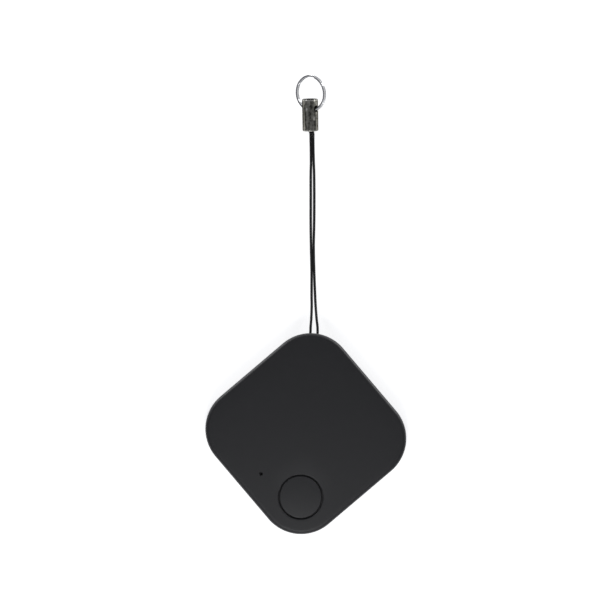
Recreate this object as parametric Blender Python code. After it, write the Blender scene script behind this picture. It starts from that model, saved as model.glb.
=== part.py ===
"""Bluetooth tracker tag on a looped cord, lying on its back.

Frame: origin at the centre of the case's back face, +Z out of the front face, +Y towards the
corner that the cord leaves. The case is a rounded square that stands on one corner in this frame.
Lengths are in metres; MM turns millimetres into them.
"""

import math

import bmesh
import bpy
import numpy as np
from mathutils import Matrix, Vector

MM = 0.001

# Case
CASE_SIDE = 38.0 * MM
CASE_HEIGHT = 7.0 * MM
CORNER_RADIUS = 9.7 * MM
EDGE_FILLET = 0.9 * MM
WALL = 1.2 * MM
FLOOR = 1.0 * MM
ROOF = 1.0 * MM
PARTING_HEIGHT = 3.8 * MM
PARTING_GAP = 0.12 * MM
LIP_HEIGHT = 0.8 * MM
LIP_THICKNESS = 0.5 * MM
CORNER_STEPS = 10
FILLET_STEPS = 4

# Clearances
REST_GAP = 0.15 * MM
SLIDE_GAP = 0.35 * MM
CUT_EXTRA = 0.5 * MM

# Button and pinhole
BUTTON_PLACE = (0.0, -14.45 * MM)
BUTTON_DIAMETER = 9.5 * MM
BUTTON_EDGE = 0.15 * MM
BUTTON_FLANGE_WIDTH = 0.7 * MM
BUTTON_FLANGE_THICKNESS = 0.6 * MM
BUTTON_STEM_DIAMETER = 2.0 * MM
HOLE_CHAMFER = 0.12 * MM
PINHOLE_PLACE = (-9.4 * MM, -9.95 * MM)
PINHOLE_DIAMETER = 0.8 * MM

# Circuit board and what is soldered to it
BOARD_THICKNESS = 0.8 * MM
BOARD_TO_WALL = 0.5 * MM
BOARD_TO_POST = 1.8 * MM
REST_DIAMETER = 2.0 * MM
SOLDER = 0.1 * MM
CHIP_SIZE = (4.0 * MM, 4.0 * MM, 0.8 * MM)
CHIP_PLACE = (-14.5 * MM, 0.0)
CRYSTAL_SIZE = (3.2 * MM, 2.5 * MM, 0.7 * MM)
CRYSTAL_PLACE = (-13.0 * MM, 5.8 * MM)
TRANSISTOR_SIZE = (2.9 * MM, 1.3 * MM, 1.0 * MM)
TRANSISTOR_PLACE = (10.6 * MM, -8.2 * MM)
CAPACITOR_SIZE = (1.6 * MM, 0.8 * MM, 0.8 * MM)
CAPACITOR_PLACES = (
    (-15.6 * MM, -3.7 * MM),
    (-12.9 * MM, -5.6 * MM),
    (-17.6 * MM, 2.7 * MM),
    (-9.0 * MM, 10.4 * MM),
)
RESISTOR_SIZE = (1.6 * MM, 0.8 * MM, 0.45 * MM)
RESISTOR_PLACES = ((8.2 * MM, -11.6 * MM), (-6.3 * MM, -13.2 * MM))
LIGHT_SIZE = (1.6 * MM, 0.8 * MM, 0.3 * MM)
LENS_SIZE = (1.1 * MM, 0.8 * MM, 0.35 * MM)
CHIP_EDGE = 0.08 * MM

# Tact switch
SWITCH_SIDE = 4.8 * MM
SWITCH_HEIGHT = 1.15 * MM
SWITCH_FLOOR = 0.4 * MM
SWITCH_WALL = 0.5 * MM
SWITCH_POCKET_DIAMETER = SWITCH_SIDE - 2.0 * SWITCH_WALL
PLUNGER_DIAMETER = 2.0 * MM
PLUNGER_FLANGE_DIAMETER = 3.0 * MM
PLUNGER_FLANGE_THICKNESS = 0.2 * MM
PLUNGER_PROUD = 0.3 * MM
COVER_THICKNESS = 0.15 * MM
DOME_TO_POCKET = 0.2 * MM
DOME_DIAMETER = SWITCH_POCKET_DIAMETER - 2.0 * DOME_TO_POCKET
DOME_RISE = 0.3 * MM
DOME_THICKNESS = 0.08 * MM
SWITCH_GAP = 0.06 * MM

# Coin cell, its holder and contacts
CELL_PLACE = (0.0, 1.5 * MM)
CELL_DIAMETER = 20.0 * MM
CELL_HEIGHT = 3.2 * MM
CELL_LIFT = 0.35 * MM
CELL_TO_ROOF = 0.25 * MM
CELL_CAN_WALL = 0.25 * MM
CELL_EDGE = 0.4 * MM
CELL_SEAL_WIDTH = 0.6 * MM
CELL_CAP_PROUD = 0.2 * MM
CELL_GAP = 0.06 * MM
HOLDER_GAP = 0.2 * MM
HOLDER_WALL = 0.7 * MM
HOLDER_HEIGHT = 2.0 * MM
HOLDER_MOUTH_WIDTH = 5.0 * MM
CONTACT_THICKNESS = 0.2 * MM
POSITIVE_WIDTH = 3.6 * MM
POSITIVE_HEIGHT = 2.5 * MM
POSITIVE_FOOT = 1.6 * MM
NEGATIVE_DIAMETER = 10.0 * MM

# Sounder
SOUNDER_SIDE = 8.5 * MM
SOUNDER_HEIGHT = 3.0 * MM
SOUNDER_BASE = 0.4 * MM
SOUNDER_TOP = 0.4 * MM
SOUNDER_WALL = 0.5 * MM
SOUNDER_ROOM_DIAMETER = SOUNDER_SIDE - 2.0 * SOUNDER_WALL
SOUNDER_PORT = (3.0 * MM, 0.8 * MM)
CORE_DIAMETER = 2.0 * MM
CORE_HEIGHT = 1.0 * MM
COIL_DIAMETER = 4.2 * MM
COIL_HEIGHT = 0.85 * MM
MAGNET_TO_COIL = 0.3 * MM
MAGNET_INSIDE_DIAMETER = COIL_DIAMETER + 2.0 * MAGNET_TO_COIL
MAGNET_DIAMETER = 6.8 * MM
MAGNET_HEIGHT = 1.05 * MM
DIAPHRAGM_TO_ROOM = 0.15 * MM
DIAPHRAGM_DIAMETER = SOUNDER_ROOM_DIAMETER - 2.0 * DIAPHRAGM_TO_ROOM
DIAPHRAGM_THICKNESS = 0.1 * MM
SOUNDER_GAP = 0.12 * MM

# Cord, the post it loops round and the notches it leaves by
CORD_DIAMETER = 0.6 * MM
CORD_HEIGHT = 3.2 * MM
STRAND_SPREAD = 1.73 * MM
NOTCH_TO_CORD = 0.2 * MM
NOTCH_WIDTH = CORD_DIAMETER + 2.0 * NOTCH_TO_CORD
POST_DIAMETER = 1.5 * MM
POST_TO_CORNER = 4.4 * MM
POST_TO_CORD = 0.25 * MM
CORD_INTO_BARREL = 1.5 * MM
STRAND_FROM_AXIS = 0.55 * CORD_DIAMETER
CORD_POINT_SPACING = 1.42 * MM

# End barrel and split ring
BARREL_FOOT = (-4.57 * MM, 68.6 * MM)
BARREL_LEAN = math.radians(5.75)
BARREL_PITCH = math.radians(6.4)
BARREL_ROLL = math.radians(36.0)
BARREL_DIAMETER = 3.6 * MM
BARREL_LENGTH = 7.25 * MM
BARREL_WALL = 0.3 * MM
BARREL_END_WALL = 0.5 * MM
BARREL_MOUTH_TO_CORD = 0.22 * MM
BARREL_MOUTH_DIAMETER = 2.0 * STRAND_FROM_AXIS + CORD_DIAMETER + 2.0 * BARREL_MOUTH_TO_CORD
CROSS_HOLE_TO_RIM = 2.1 * MM
CROSS_HOLE_TO_WIRE = 0.33 * MM
TABLE_GAP = 0.04 * MM
RING_DIAMETER = 8.3 * MM
RING_WIRE_DEPTH = 0.5 * MM
RING_WIRE_WIDTH = 0.4 * MM
RING_WIRE_CORNER = 0.45
RING_PITCH = 0.44 * MM
RING_TURNS = 1.92
RING_LEAN = math.radians(5.0)
RING_STEPS_PER_TURN = 36
CROSS_HOLE_DIAMETER = RING_WIRE_WIDTH + RING_PITCH + 2.0 * CROSS_HOLE_TO_WIRE

ROUND_SIDES = 48
SMALL_ROUND_SIDES = 28

# Where one piece stands on another
CASE_HALF = CASE_SIDE / 2
CASE_REACH = (CASE_HALF - CORNER_RADIUS) * math.sqrt(2.0) + CORNER_RADIUS
ROOF_INSIDE = CASE_HEIGHT - ROOF
BOARD_LIFT = ROOF_INSIDE - CELL_TO_ROOF - CELL_HEIGHT - CELL_LIFT - BOARD_THICKNESS - FLOOR
BOARD_BOTTOM = FLOOR + BOARD_LIFT
BOARD_TOP = BOARD_BOTTOM + BOARD_THICKNESS
SOLDER_TOP = BOARD_TOP + SOLDER
POST_PLACE = (0.0, CASE_REACH - POST_TO_CORNER)
SWITCH_TOP = SOLDER_TOP + SWITCH_HEIGHT
COVER_BOTTOM = SWITCH_TOP + SWITCH_GAP
PLUNGER_TOP = COVER_BOTTOM + COVER_THICKNESS + PLUNGER_PROUD
CELL_BOTTOM = BOARD_TOP + CELL_LIFT
CELL_TOP = CELL_BOTTOM + CELL_HEIGHT
SOUNDER_BASE_TOP = SOLDER_TOP + SOUNDER_BASE
HOLDER_INSIDE = CELL_DIAMETER / 2 + HOLDER_GAP
HOLDER_OUTSIDE = HOLDER_INSIDE + HOLDER_WALL
SOUNDER_PLACE = (CELL_PLACE[0] + HOLDER_OUTSIDE + REST_GAP + SOUNDER_SIDE / 2, 0.0)
BARREL_RADIUS = BARREL_DIAMETER / 2
BARREL_HEIGHT = BARREL_RADIUS * math.cos(BARREL_PITCH) + TABLE_GAP

# Both strands between the barrel and the case: x of the left and of the right one, y, and height
# over the table, in millimetres.
STRAND_ROUTE = (
    (-4.58, -3.92, 68.2, 1.78),
    (-4.44, -3.77, 66.9, 1.42),
    (-4.16, -3.50, 64.1, 0.72),
    (-3.93, -3.19, 61.4, 0.36),
    (-3.71, -2.93, 58.7, 0.33),
    (-3.27, -2.45, 53.3, 0.33),
    (-2.82, -2.03, 47.8, 0.33),
    (-2.34, -1.66, 42.4, 0.33),
    (-1.77, -1.11, 37.0, 0.33),
    (-1.29, -0.49, 31.6, 0.42),
    (-1.04, -0.14, 28.9, 1.10),
    (-0.91, 0.30, 26.2, 2.25),
    (-0.90, 0.66, 24.3, 2.95),
)

FINISHES = {
    "black_plastic": ((0.030, 0.030, 0.033), 0.55, 0.0),
    "button_plastic": ((0.034, 0.034, 0.037), 0.50, 0.0),
    "board": ((0.010, 0.075, 0.030), 0.45, 0.0),
    "black_resin": ((0.020, 0.020, 0.022), 0.60, 0.0),
    "steel": ((0.60, 0.59, 0.57), 0.28, 1.0),
    "nickel": ((0.66, 0.63, 0.56), 0.35, 1.0),
    "ceramic": ((0.42, 0.27, 0.14), 0.60, 0.0),
    "white_resin": ((0.72, 0.70, 0.64), 0.50, 0.0),
    "clear_resin": ((0.80, 0.82, 0.78), 0.15, 0.0),
    "copper": ((0.72, 0.28, 0.10), 0.35, 1.0),
    "magnet": ((0.10, 0.10, 0.11), 0.45, 0.6),
    "seal": ((0.20, 0.20, 0.21), 0.60, 0.0),
    "cord": ((0.016, 0.016, 0.018), 0.85, 0.0),
    "gunmetal": ((0.17, 0.165, 0.15), 0.34, 1.0),
    "chrome": ((0.75, 0.75, 0.76), 0.12, 1.0),
}


def clear_scene():
    for leftover in list(bpy.data.objects):
        bpy.data.objects.remove(leftover, do_unlink=True)


def finish(name):
    """The material of that name, made on its first use."""
    if name in bpy.data.materials:
        return bpy.data.materials[name]
    colour, roughness, metallic = FINISHES[name]
    material = bpy.data.materials.new(name)
    material.use_nodes = True
    shader = material.node_tree.nodes["Principled BSDF"]
    shader.inputs["Base Color"].default_value = (*colour, 1.0)
    shader.inputs["Roughness"].default_value = roughness
    shader.inputs["Metallic"].default_value = metallic
    material.diffuse_color = (*colour, 1.0)
    return material


def placed(name, shape, material, place=(0.0, 0.0, 0.0), turn=0.0):
    """An object that holds the bmesh, at its place, turned about its own Z."""
    bmesh.ops.recalc_face_normals(shape, faces=shape.faces)
    mesh = bpy.data.meshes.new(name)
    shape.to_mesh(mesh)
    shape.free()
    mesh.shade_smooth()
    mesh.set_sharp_from_angle(angle=math.radians(30.0))
    mesh.materials.append(finish(material))
    piece = bpy.data.objects.new(name, mesh)
    piece.location = place
    piece.rotation_euler.z = turn
    bpy.context.scene.collection.objects.link(piece)
    return piece


def rounded_square(inset):
    """The case's outline moved inwards, anticlockwise, with a corner on each axis."""
    radius = CORNER_RADIUS - inset
    centre_reach = (CASE_HALF - CORNER_RADIUS) * math.sqrt(2.0)
    points = []
    for corner in range(4):
        middle = corner * math.pi / 2
        for step in range(CORNER_STEPS + 1):
            angle = middle + (step / CORNER_STEPS - 0.5) * math.pi / 2
            x = centre_reach * math.cos(middle) + radius * math.cos(angle)
            y = centre_reach * math.sin(middle) + radius * math.sin(angle)
            points.append((x, y))
    return points


def lofted(levels):
    """A closed shape through case outlines, given as (inset, height), capped at both ends."""
    shape = bmesh.new()
    rings = []
    for inset, height in levels:
        rings.append([shape.verts.new((x, y, height)) for x, y in rounded_square(inset)])
    for lower, upper in zip(rings, rings[1:]):
        for side in range(len(lower)):
            following = (side + 1) % len(lower)
            shape.faces.new((lower[side], lower[following], upper[following], upper[side]))
    shape.faces.new(rings[0])
    shape.faces.new(rings[-1])
    return shape


def turned(profile, sides=SMALL_ROUND_SIDES):
    """A solid of revolution about Z. The profile is (radius, height), from axis to axis or a loop."""
    shape = bmesh.new()
    corners = [shape.verts.new((radius, 0.0, height)) for radius, height in profile]
    edges = [shape.edges.new(pair) for pair in zip(corners, corners[1:])]
    if profile[0][0] > 0.0:
        edges.append(shape.edges.new((corners[-1], corners[0])))
    bmesh.ops.spin(
        shape,
        geom=corners + edges,
        cent=(0.0, 0.0, 0.0),
        axis=(0.0, 0.0, 1.0),
        angle=2.0 * math.pi,
        steps=sides,
        use_duplicate=False,
    )
    bmesh.ops.remove_doubles(shape, verts=shape.verts, dist=1e-7)
    return shape


def rod(radius, bottom, top, sides=SMALL_ROUND_SIDES):
    return turned([(0.0, bottom), (radius, bottom), (radius, top), (0.0, top)], sides)


def tube(inside, outside, bottom, top, sides=SMALL_ROUND_SIDES):
    corners = [(inside, bottom), (outside, bottom), (outside, top), (inside, top)]
    return turned(corners, sides)


def block(size, edge=0.0):
    """A box on the XY plane, centred on Z, with its edges cut back."""
    shape = bmesh.new()
    bmesh.ops.create_cube(shape, size=1.0)
    bmesh.ops.scale(shape, vec=size, verts=shape.verts)
    bmesh.ops.translate(shape, vec=(0.0, 0.0, size[2] / 2), verts=shape.verts)
    if edge > 0.0:
        bmesh.ops.bevel(shape, geom=shape.edges, offset=edge, segments=1, affect="EDGES")
    return shape


def prism(outline, length):
    """The flat outline extruded from Z = 0."""
    shape = bmesh.new()
    base = shape.faces.new([shape.verts.new((x, y, 0.0)) for x, y in outline])
    grown = bmesh.ops.extrude_face_region(shape, geom=[base])
    tops = [item for item in grown["geom"] if isinstance(item, bmesh.types.BMVert)]
    bmesh.ops.translate(shape, vec=(0.0, 0.0, length), verts=tops)
    return shape


def combine(piece, other, operation):
    """Cuts the other shape from the piece, or joins it on; the other stays as a hidden guide."""
    modifier = piece.modifiers.new(other.name, "BOOLEAN")
    modifier.operation = operation
    modifier.solver = "EXACT"
    modifier.object = other
    other.hide_render = True
    other.display_type = "WIRE"


def pivot(name, place, parent=None):
    empty = bpy.data.objects.new(name, None)
    empty.location = place
    empty.parent = parent
    empty.empty_display_size = 2.0 * MM
    bpy.context.scene.collection.objects.link(empty)
    return empty


def quarter(radius, centre, start, steps=FILLET_STEPS):
    """Points of a quarter circle, anticlockwise from the start angle, as (radius, height)."""
    angles = [start + step * math.pi / 2 / steps for step in range(steps + 1)]
    return [(centre[0] + radius * math.cos(a), centre[1] + radius * math.sin(a)) for a in angles]


def make_front_shell():
    """The front half: roof, rounded edge and a wall whose inner half is cut back for the lip."""
    fillet = quarter(EDGE_FILLET, (-EDGE_FILLET, CASE_HEIGHT - EDGE_FILLET), 0.0)
    outside = [(-x, z) for x, z in reversed(fillet)]
    wall_bottom = PARTING_HEIGHT + PARTING_GAP
    rebate = WALL - LIP_THICKNESS - PARTING_GAP
    rebate_top = PARTING_HEIGHT + LIP_HEIGHT + REST_GAP
    inside = [
        (0.0, wall_bottom),
        (rebate, wall_bottom),
        (rebate, rebate_top),
        (WALL, rebate_top),
        (WALL, ROOF_INSIDE),
    ]
    shell = placed("front_shell", lofted(outside + inside), "black_plastic")
    hole = BUTTON_DIAMETER / 2 + SLIDE_GAP
    cutter = [
        (0.0, ROOF_INSIDE - CUT_EXTRA),
        (hole, ROOF_INSIDE - CUT_EXTRA),
        (hole, CASE_HEIGHT - HOLE_CHAMFER),
        (hole + HOLE_CHAMFER + CUT_EXTRA, CASE_HEIGHT + CUT_EXTRA),
        (0.0, CASE_HEIGHT + CUT_EXTRA),
    ]
    opening = turned(cutter, ROUND_SIDES)
    button_hole = placed("button_hole", opening, "black_plastic", (*BUTTON_PLACE, 0.0))
    combine(shell, button_hole, "DIFFERENCE")
    drill = rod(PINHOLE_DIAMETER / 2, ROOF_INSIDE - CUT_EXTRA, CASE_HEIGHT + CUT_EXTRA, 16)
    pinhole = placed("pinhole", drill, "black_plastic", (*PINHOLE_PLACE, 0.0))
    combine(shell, pinhole, "DIFFERENCE")
    return shell


def notch_outline(x):
    """A U open at the top, as wide as a notch, round the cord's height."""
    radius = NOTCH_WIDTH / 2
    top = PARTING_HEIGHT + LIP_HEIGHT + CUT_EXTRA
    steps = 8
    bottom = [math.pi + step * math.pi / steps for step in range(steps + 1)]
    points = [(x + radius * math.cos(a), CORD_HEIGHT + radius * math.sin(a)) for a in bottom]
    return points + [(x + radius, top), (x - radius, top)]


def make_rear_shell():
    """The rear half: floor, wall and lip, the cord's post and notches, and the board's rests."""
    fillet = quarter(EDGE_FILLET, (-EDGE_FILLET, EDGE_FILLET), -math.pi / 2)
    outside = [(-x, z) for x, z in fillet]
    lip_outside = WALL - LIP_THICKNESS
    lip_top = PARTING_HEIGHT + LIP_HEIGHT
    inside = [
        (0.0, PARTING_HEIGHT),
        (lip_outside, PARTING_HEIGHT),
        (lip_outside, lip_top),
        (WALL, lip_top),
        (WALL, FLOOR),
    ]
    shell = placed("rear_shell", lofted(outside + inside), "black_plastic")
    root = FLOOR / 2
    post = rod(POST_DIAMETER / 2, root, ROOF_INSIDE - REST_GAP)
    combine(shell, placed("cord_post", post, "black_plastic", (*POST_PLACE, 0.0)), "UNION")
    rest_reach = CASE_REACH - CORNER_RADIUS
    rests = ((rest_reach, 0.0), (-rest_reach, 0.0), BUTTON_PLACE, (0.0, rest_reach - REST_DIAMETER))
    for number, place in enumerate(rests, 1):
        stub = rod(REST_DIAMETER / 2, root, BOARD_BOTTOM - REST_GAP, 16)
        rest = placed(f"board_rest_{number}", stub, "black_plastic", (*place, 0.0))
        combine(shell, rest, "UNION")
    length = WALL + 3.0 * CUT_EXTRA
    for side, label in ((-1, "left"), (1, "right")):
        cutter = prism(notch_outline(side * STRAND_SPREAD / 2), length)
        notch = placed(f"cord_notch_{label}", cutter, "black_plastic")
        notch.location.y = CASE_REACH + CUT_EXTRA
        notch.rotation_euler.x = math.pi / 2
        combine(shell, notch, "DIFFERENCE")
    return shell


def make_button():
    """The push button: a cap flush with the face, a flange under the roof and a stem."""
    radius = BUTTON_DIAMETER / 2
    flange_top = ROOF_INSIDE - REST_GAP
    flange_bottom = flange_top - BUTTON_FLANGE_THICKNESS
    stem_bottom = PLUNGER_TOP + REST_GAP
    stem = BUTTON_STEM_DIAMETER / 2
    flange = radius + BUTTON_FLANGE_WIDTH
    edge = quarter(BUTTON_EDGE, (radius - BUTTON_EDGE, CASE_HEIGHT - BUTTON_EDGE), 0.0, 3)
    profile = [
        (0.0, stem_bottom),
        (stem, stem_bottom),
        (stem, flange_bottom),
        (flange, flange_bottom),
        (flange, flange_top),
        (radius, flange_top),
    ]
    profile += edge + [(0.0, CASE_HEIGHT)]
    return placed("button_cap", turned(profile, ROUND_SIDES), "button_plastic", (*BUTTON_PLACE, 0.0))


def make_board():
    """The board: the case's inner outline, cut straight in front of the cord's post."""
    outline = rounded_square(WALL + BOARD_TO_WALL)
    board = placed("circuit_board", prism(outline, BOARD_THICKNESS), "board", (0.0, 0.0, BOARD_BOTTOM))
    width = 2.0 * CASE_REACH
    cut_back = placed("board_end_cut", block((width, width, CASE_HEIGHT)), "board")
    cut_back.location.y = POST_PLACE[1] - BOARD_TO_POST + width / 2
    combine(board, cut_back, "DIFFERENCE")
    return board


def make_chips():
    """The parts soldered to the board, square to its edges."""
    square = math.pi / 4
    chips = [
        ("bluetooth_chip", CHIP_SIZE, "black_resin", CHIP_PLACE, square),
        ("crystal_can", CRYSTAL_SIZE, "steel", CRYSTAL_PLACE, square),
        ("driver_transistor", TRANSISTOR_SIZE, "black_resin", TRANSISTOR_PLACE, square),
        ("light_base", LIGHT_SIZE, "white_resin", PINHOLE_PLACE, -square),
    ]
    for number, place in enumerate(CAPACITOR_PLACES, 1):
        chips.append((f"capacitor_{number}", CAPACITOR_SIZE, "ceramic", place, -square))
    for number, place in enumerate(RESISTOR_PLACES, 1):
        chips.append((f"resistor_{number}", RESISTOR_SIZE, "black_resin", place, square))
    for name, size, material, place, turn in chips:
        placed(name, block(size, CHIP_EDGE), material, (*place, SOLDER_TOP), turn)
    lens_bottom = SOLDER_TOP + LIGHT_SIZE[2] + SWITCH_GAP
    lens = block(LENS_SIZE, 2.0 * CHIP_EDGE)
    placed("light_lens", lens, "clear_resin", (*PINHOLE_PLACE, lens_bottom), -square)


def dome_profile():
    """Section of the snap dome: an arc of even thickness over its rim."""
    radius = DOME_DIAMETER / 2
    steps = 6
    under = []
    over = []
    for step in range(steps + 1):
        share = step / steps
        height = DOME_RISE * (1.0 - share * share)
        under.append((radius * share, height))
        over.append((radius * share, height + DOME_THICKNESS))
    return under + over[::-1]


def make_switch():
    """The tact switch under the button: body with a pocket, snap dome, plunger and cover plate."""
    side = SWITCH_SIDE
    shape = block((side, side, SWITCH_HEIGHT), CHIP_EDGE)
    body = placed("switch_body", shape, "black_resin", (*BUTTON_PLACE, SOLDER_TOP))
    pocket_floor = SOLDER_TOP + SWITCH_FLOOR
    pocket = rod(SWITCH_POCKET_DIAMETER / 2, pocket_floor, SWITCH_TOP + CUT_EXTRA)
    combine(body, placed("switch_pocket", pocket, "black_resin", (*BUTTON_PLACE, 0.0)), "DIFFERENCE")
    dome_place = (*BUTTON_PLACE, pocket_floor + SWITCH_GAP)
    placed("switch_dome", turned(dome_profile()), "steel", dome_place)
    stem = PLUNGER_DIAMETER / 2
    flange = PLUNGER_FLANGE_DIAMETER / 2
    flange_top = SWITCH_TOP - SWITCH_GAP
    flange_bottom = flange_top - PLUNGER_FLANGE_THICKNESS
    plunger = [
        (0.0, flange_bottom),
        (flange, flange_bottom),
        (flange, flange_top),
        (stem, flange_top),
        (stem, PLUNGER_TOP),
        (0.0, PLUNGER_TOP),
    ]
    placed("switch_plunger", turned(plunger), "white_resin", (*BUTTON_PLACE, 0.0))
    cover = block((side, side, COVER_THICKNESS))
    plate = placed("switch_cover", cover, "nickel", (*BUTTON_PLACE, COVER_BOTTOM))
    bore = rod(stem + REST_GAP, COVER_BOTTOM - CUT_EXTRA, COVER_BOTTOM + CUT_EXTRA)
    combine(plate, placed("switch_cover_hole", bore, "nickel", (*BUTTON_PLACE, 0.0)), "DIFFERENCE")


def make_sounder():
    """The sounder: base, core, coil, ring magnet and diaphragm under a housing with a side port."""
    place = (*SOUNDER_PLACE, 0.0)
    side = SOUNDER_SIDE
    base = block((side, side, SOUNDER_BASE), CHIP_EDGE)
    placed("sounder_base", base, "black_resin", (*SOUNDER_PLACE, SOLDER_TOP))
    bottom = SOUNDER_BASE_TOP + SOUNDER_GAP
    core = rod(CORE_DIAMETER / 2, bottom, bottom + CORE_HEIGHT)
    placed("sounder_core", core, "steel", place)
    coil = tube(CORE_DIAMETER / 2 + SOUNDER_GAP, COIL_DIAMETER / 2, bottom, bottom + COIL_HEIGHT)
    placed("sounder_coil", coil, "copper", place)
    magnet = tube(MAGNET_INSIDE_DIAMETER / 2, MAGNET_DIAMETER / 2, bottom, bottom + MAGNET_HEIGHT)
    placed("sounder_magnet", magnet, "magnet", place)
    plate_bottom = bottom + MAGNET_HEIGHT + SOUNDER_GAP
    plate = rod(DIAPHRAGM_DIAMETER / 2, plate_bottom, plate_bottom + DIAPHRAGM_THICKNESS)
    placed("sounder_diaphragm", plate, "steel", place)
    housing_height = SOUNDER_HEIGHT - SOUNDER_BASE - SOUNDER_GAP
    shape = block((side, side, housing_height), CHIP_EDGE)
    housing = placed("sounder_housing", shape, "black_resin", (*SOUNDER_PLACE, bottom))
    room_top = bottom + housing_height - SOUNDER_TOP
    room = rod(SOUNDER_ROOM_DIAMETER / 2, bottom - CUT_EXTRA, room_top)
    combine(housing, placed("sounder_room", room, "black_resin", place), "DIFFERENCE")
    port_width, port_height = SOUNDER_PORT
    port = placed("sounder_port", block((side, port_width, port_height)), "black_resin")
    port.location = (SOUNDER_PLACE[0] - side / 2, 0.0, room_top - port_height)
    combine(housing, port, "DIFFERENCE")


def make_cell():
    """The coin cell, negative side down, with its holder and contacts."""
    centre = pivot("cell_pivot", (*CELL_PLACE, 0.0))
    radius = CELL_DIAMETER / 2
    inside = radius - CELL_CAN_WALL
    rim_bottom = CELL_BOTTOM + CELL_CAP_PROUD
    edge = quarter(CELL_EDGE, (radius - CELL_EDGE, CELL_TOP - CELL_EDGE), 0.0)
    can = [
        (0.0, CELL_TOP - CELL_CAN_WALL),
        (inside, CELL_TOP - CELL_CAN_WALL - CELL_EDGE),
        (inside, rim_bottom),
        (radius, rim_bottom),
    ]
    can += edge + [(0.0, CELL_TOP)]
    filling_top = CELL_TOP - CELL_CAN_WALL - CELL_EDGE - CELL_GAP
    seal_outside = inside - CELL_GAP
    seal_inside = seal_outside - CELL_SEAL_WIDTH
    seal = tube(seal_inside, seal_outside, rim_bottom, filling_top - CELL_GAP, ROUND_SIDES)
    cap = rod(seal_inside - CELL_GAP, CELL_BOTTOM, filling_top, ROUND_SIDES)
    pieces = (
        placed("cell_can", turned(can, ROUND_SIDES), "steel"),
        placed("cell_seal", seal, "seal"),
        placed("cell_cap", cap, "nickel"),
    )
    for piece in pieces:
        piece.parent = centre


def make_cell_holder():
    """The moulded ring round the cell, open where the positive contact presses, and both contacts."""
    ring = tube(HOLDER_INSIDE, HOLDER_OUTSIDE, SOLDER_TOP, SOLDER_TOP + HOLDER_HEIGHT, ROUND_SIDES)
    holder = placed("cell_holder", ring, "black_resin", (*CELL_PLACE, 0.0))
    mouth = block((HOLDER_MOUTH_WIDTH, HOLDER_OUTSIDE, CASE_HEIGHT))
    opening = placed("holder_mouth", mouth, "black_resin")
    opening.location = (CELL_PLACE[0], CELL_PLACE[1] + HOLDER_OUTSIDE, 0.0)
    combine(holder, opening, "DIFFERENCE")
    leaf = CONTACT_THICKNESS
    outline = [
        (0.0, 0.0),
        (POSITIVE_FOOT, 0.0),
        (POSITIVE_FOOT, leaf),
        (leaf, leaf),
        (leaf, POSITIVE_HEIGHT),
        (0.0, POSITIVE_HEIGHT),
    ]
    contact = placed("positive_contact", prism(outline, POSITIVE_WIDTH), "nickel")
    upright = Matrix(((0.0, 0.0, 1.0), (1.0, 0.0, 0.0), (0.0, 1.0, 0.0)))
    contact.rotation_euler = upright.to_euler()
    contact_y = CELL_PLACE[1] + CELL_DIAMETER / 2 + REST_GAP
    contact.location = (CELL_PLACE[0] - POSITIVE_WIDTH / 2, contact_y, SOLDER_TOP)
    plate_bottom = SOLDER_TOP
    plate = rod(NEGATIVE_DIAMETER / 2, plate_bottom, CELL_BOTTOM - SOLDER)
    placed("negative_contact", plate, "nickel", (*CELL_PLACE, 0.0))


def smooth_route(points, spacing):
    """Even points along a Catmull-Rom curve through the given ones."""
    given = np.array(points)
    ends = np.vstack((2 * given[0] - given[1], given, 2 * given[-1] - given[-2]))
    shares = np.linspace(0.0, 1.0, 40, endpoint=False)[:, None]
    stretches = []
    for before, start, end, after in zip(ends, ends[1:], ends[2:], ends[3:]):
        slope = (end - before) / 2
        next_slope = (after - start) / 2
        bend = 3 * (end - start) - 2 * slope - next_slope
        twist = 2 * (start - end) + slope + next_slope
        stretches.append(start + slope * shares + bend * shares**2 + twist * shares**3)
    fine = np.vstack(stretches + [given[-1:]])
    lengths = np.append(0.0, np.cumsum(np.linalg.norm(np.diff(fine, axis=0), axis=1)))
    count = math.ceil(lengths[-1] / spacing) + 1
    even = np.linspace(0.0, lengths[-1], count)
    return np.column_stack([np.interp(even, lengths, fine[:, axis]) for axis in range(3)])


def barrel_frame():
    """The barrel's place: Z along it from its cord end, X along its cross hole."""
    across = Vector((math.cos(BARREL_LEAN), math.sin(BARREL_LEAN), 0.0))
    level = Vector((-math.sin(BARREL_LEAN), math.cos(BARREL_LEAN), 0.0))
    along = level * math.cos(BARREL_PITCH) + Vector((0.0, 0.0, math.sin(BARREL_PITCH)))
    hole = across * math.cos(BARREL_ROLL) + across.cross(along) * math.sin(BARREL_ROLL)
    turn = Matrix((hole, along.cross(hole), along)).transposed()
    return Matrix.Translation((*BARREL_FOOT, BARREL_HEIGHT)) @ turn.to_4x4(), along, across


def strand_points(side):
    """Points of one strand from its end in the barrel to the case, side 0 the left and 1 the right."""
    _, along, across = barrel_frame()
    axis = Vector((*BARREL_FOOT, BARREL_HEIGHT)) + across * STRAND_FROM_AXIS * (2 * side - 1)
    points = [axis + along * (BARREL_END_WALL + CORD_INTO_BARREL), axis + along * (BARREL_END_WALL / 2)]
    for row in STRAND_ROUTE:
        points.append(Vector((row[side], row[2], row[3])) * MM)
    return points


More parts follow.
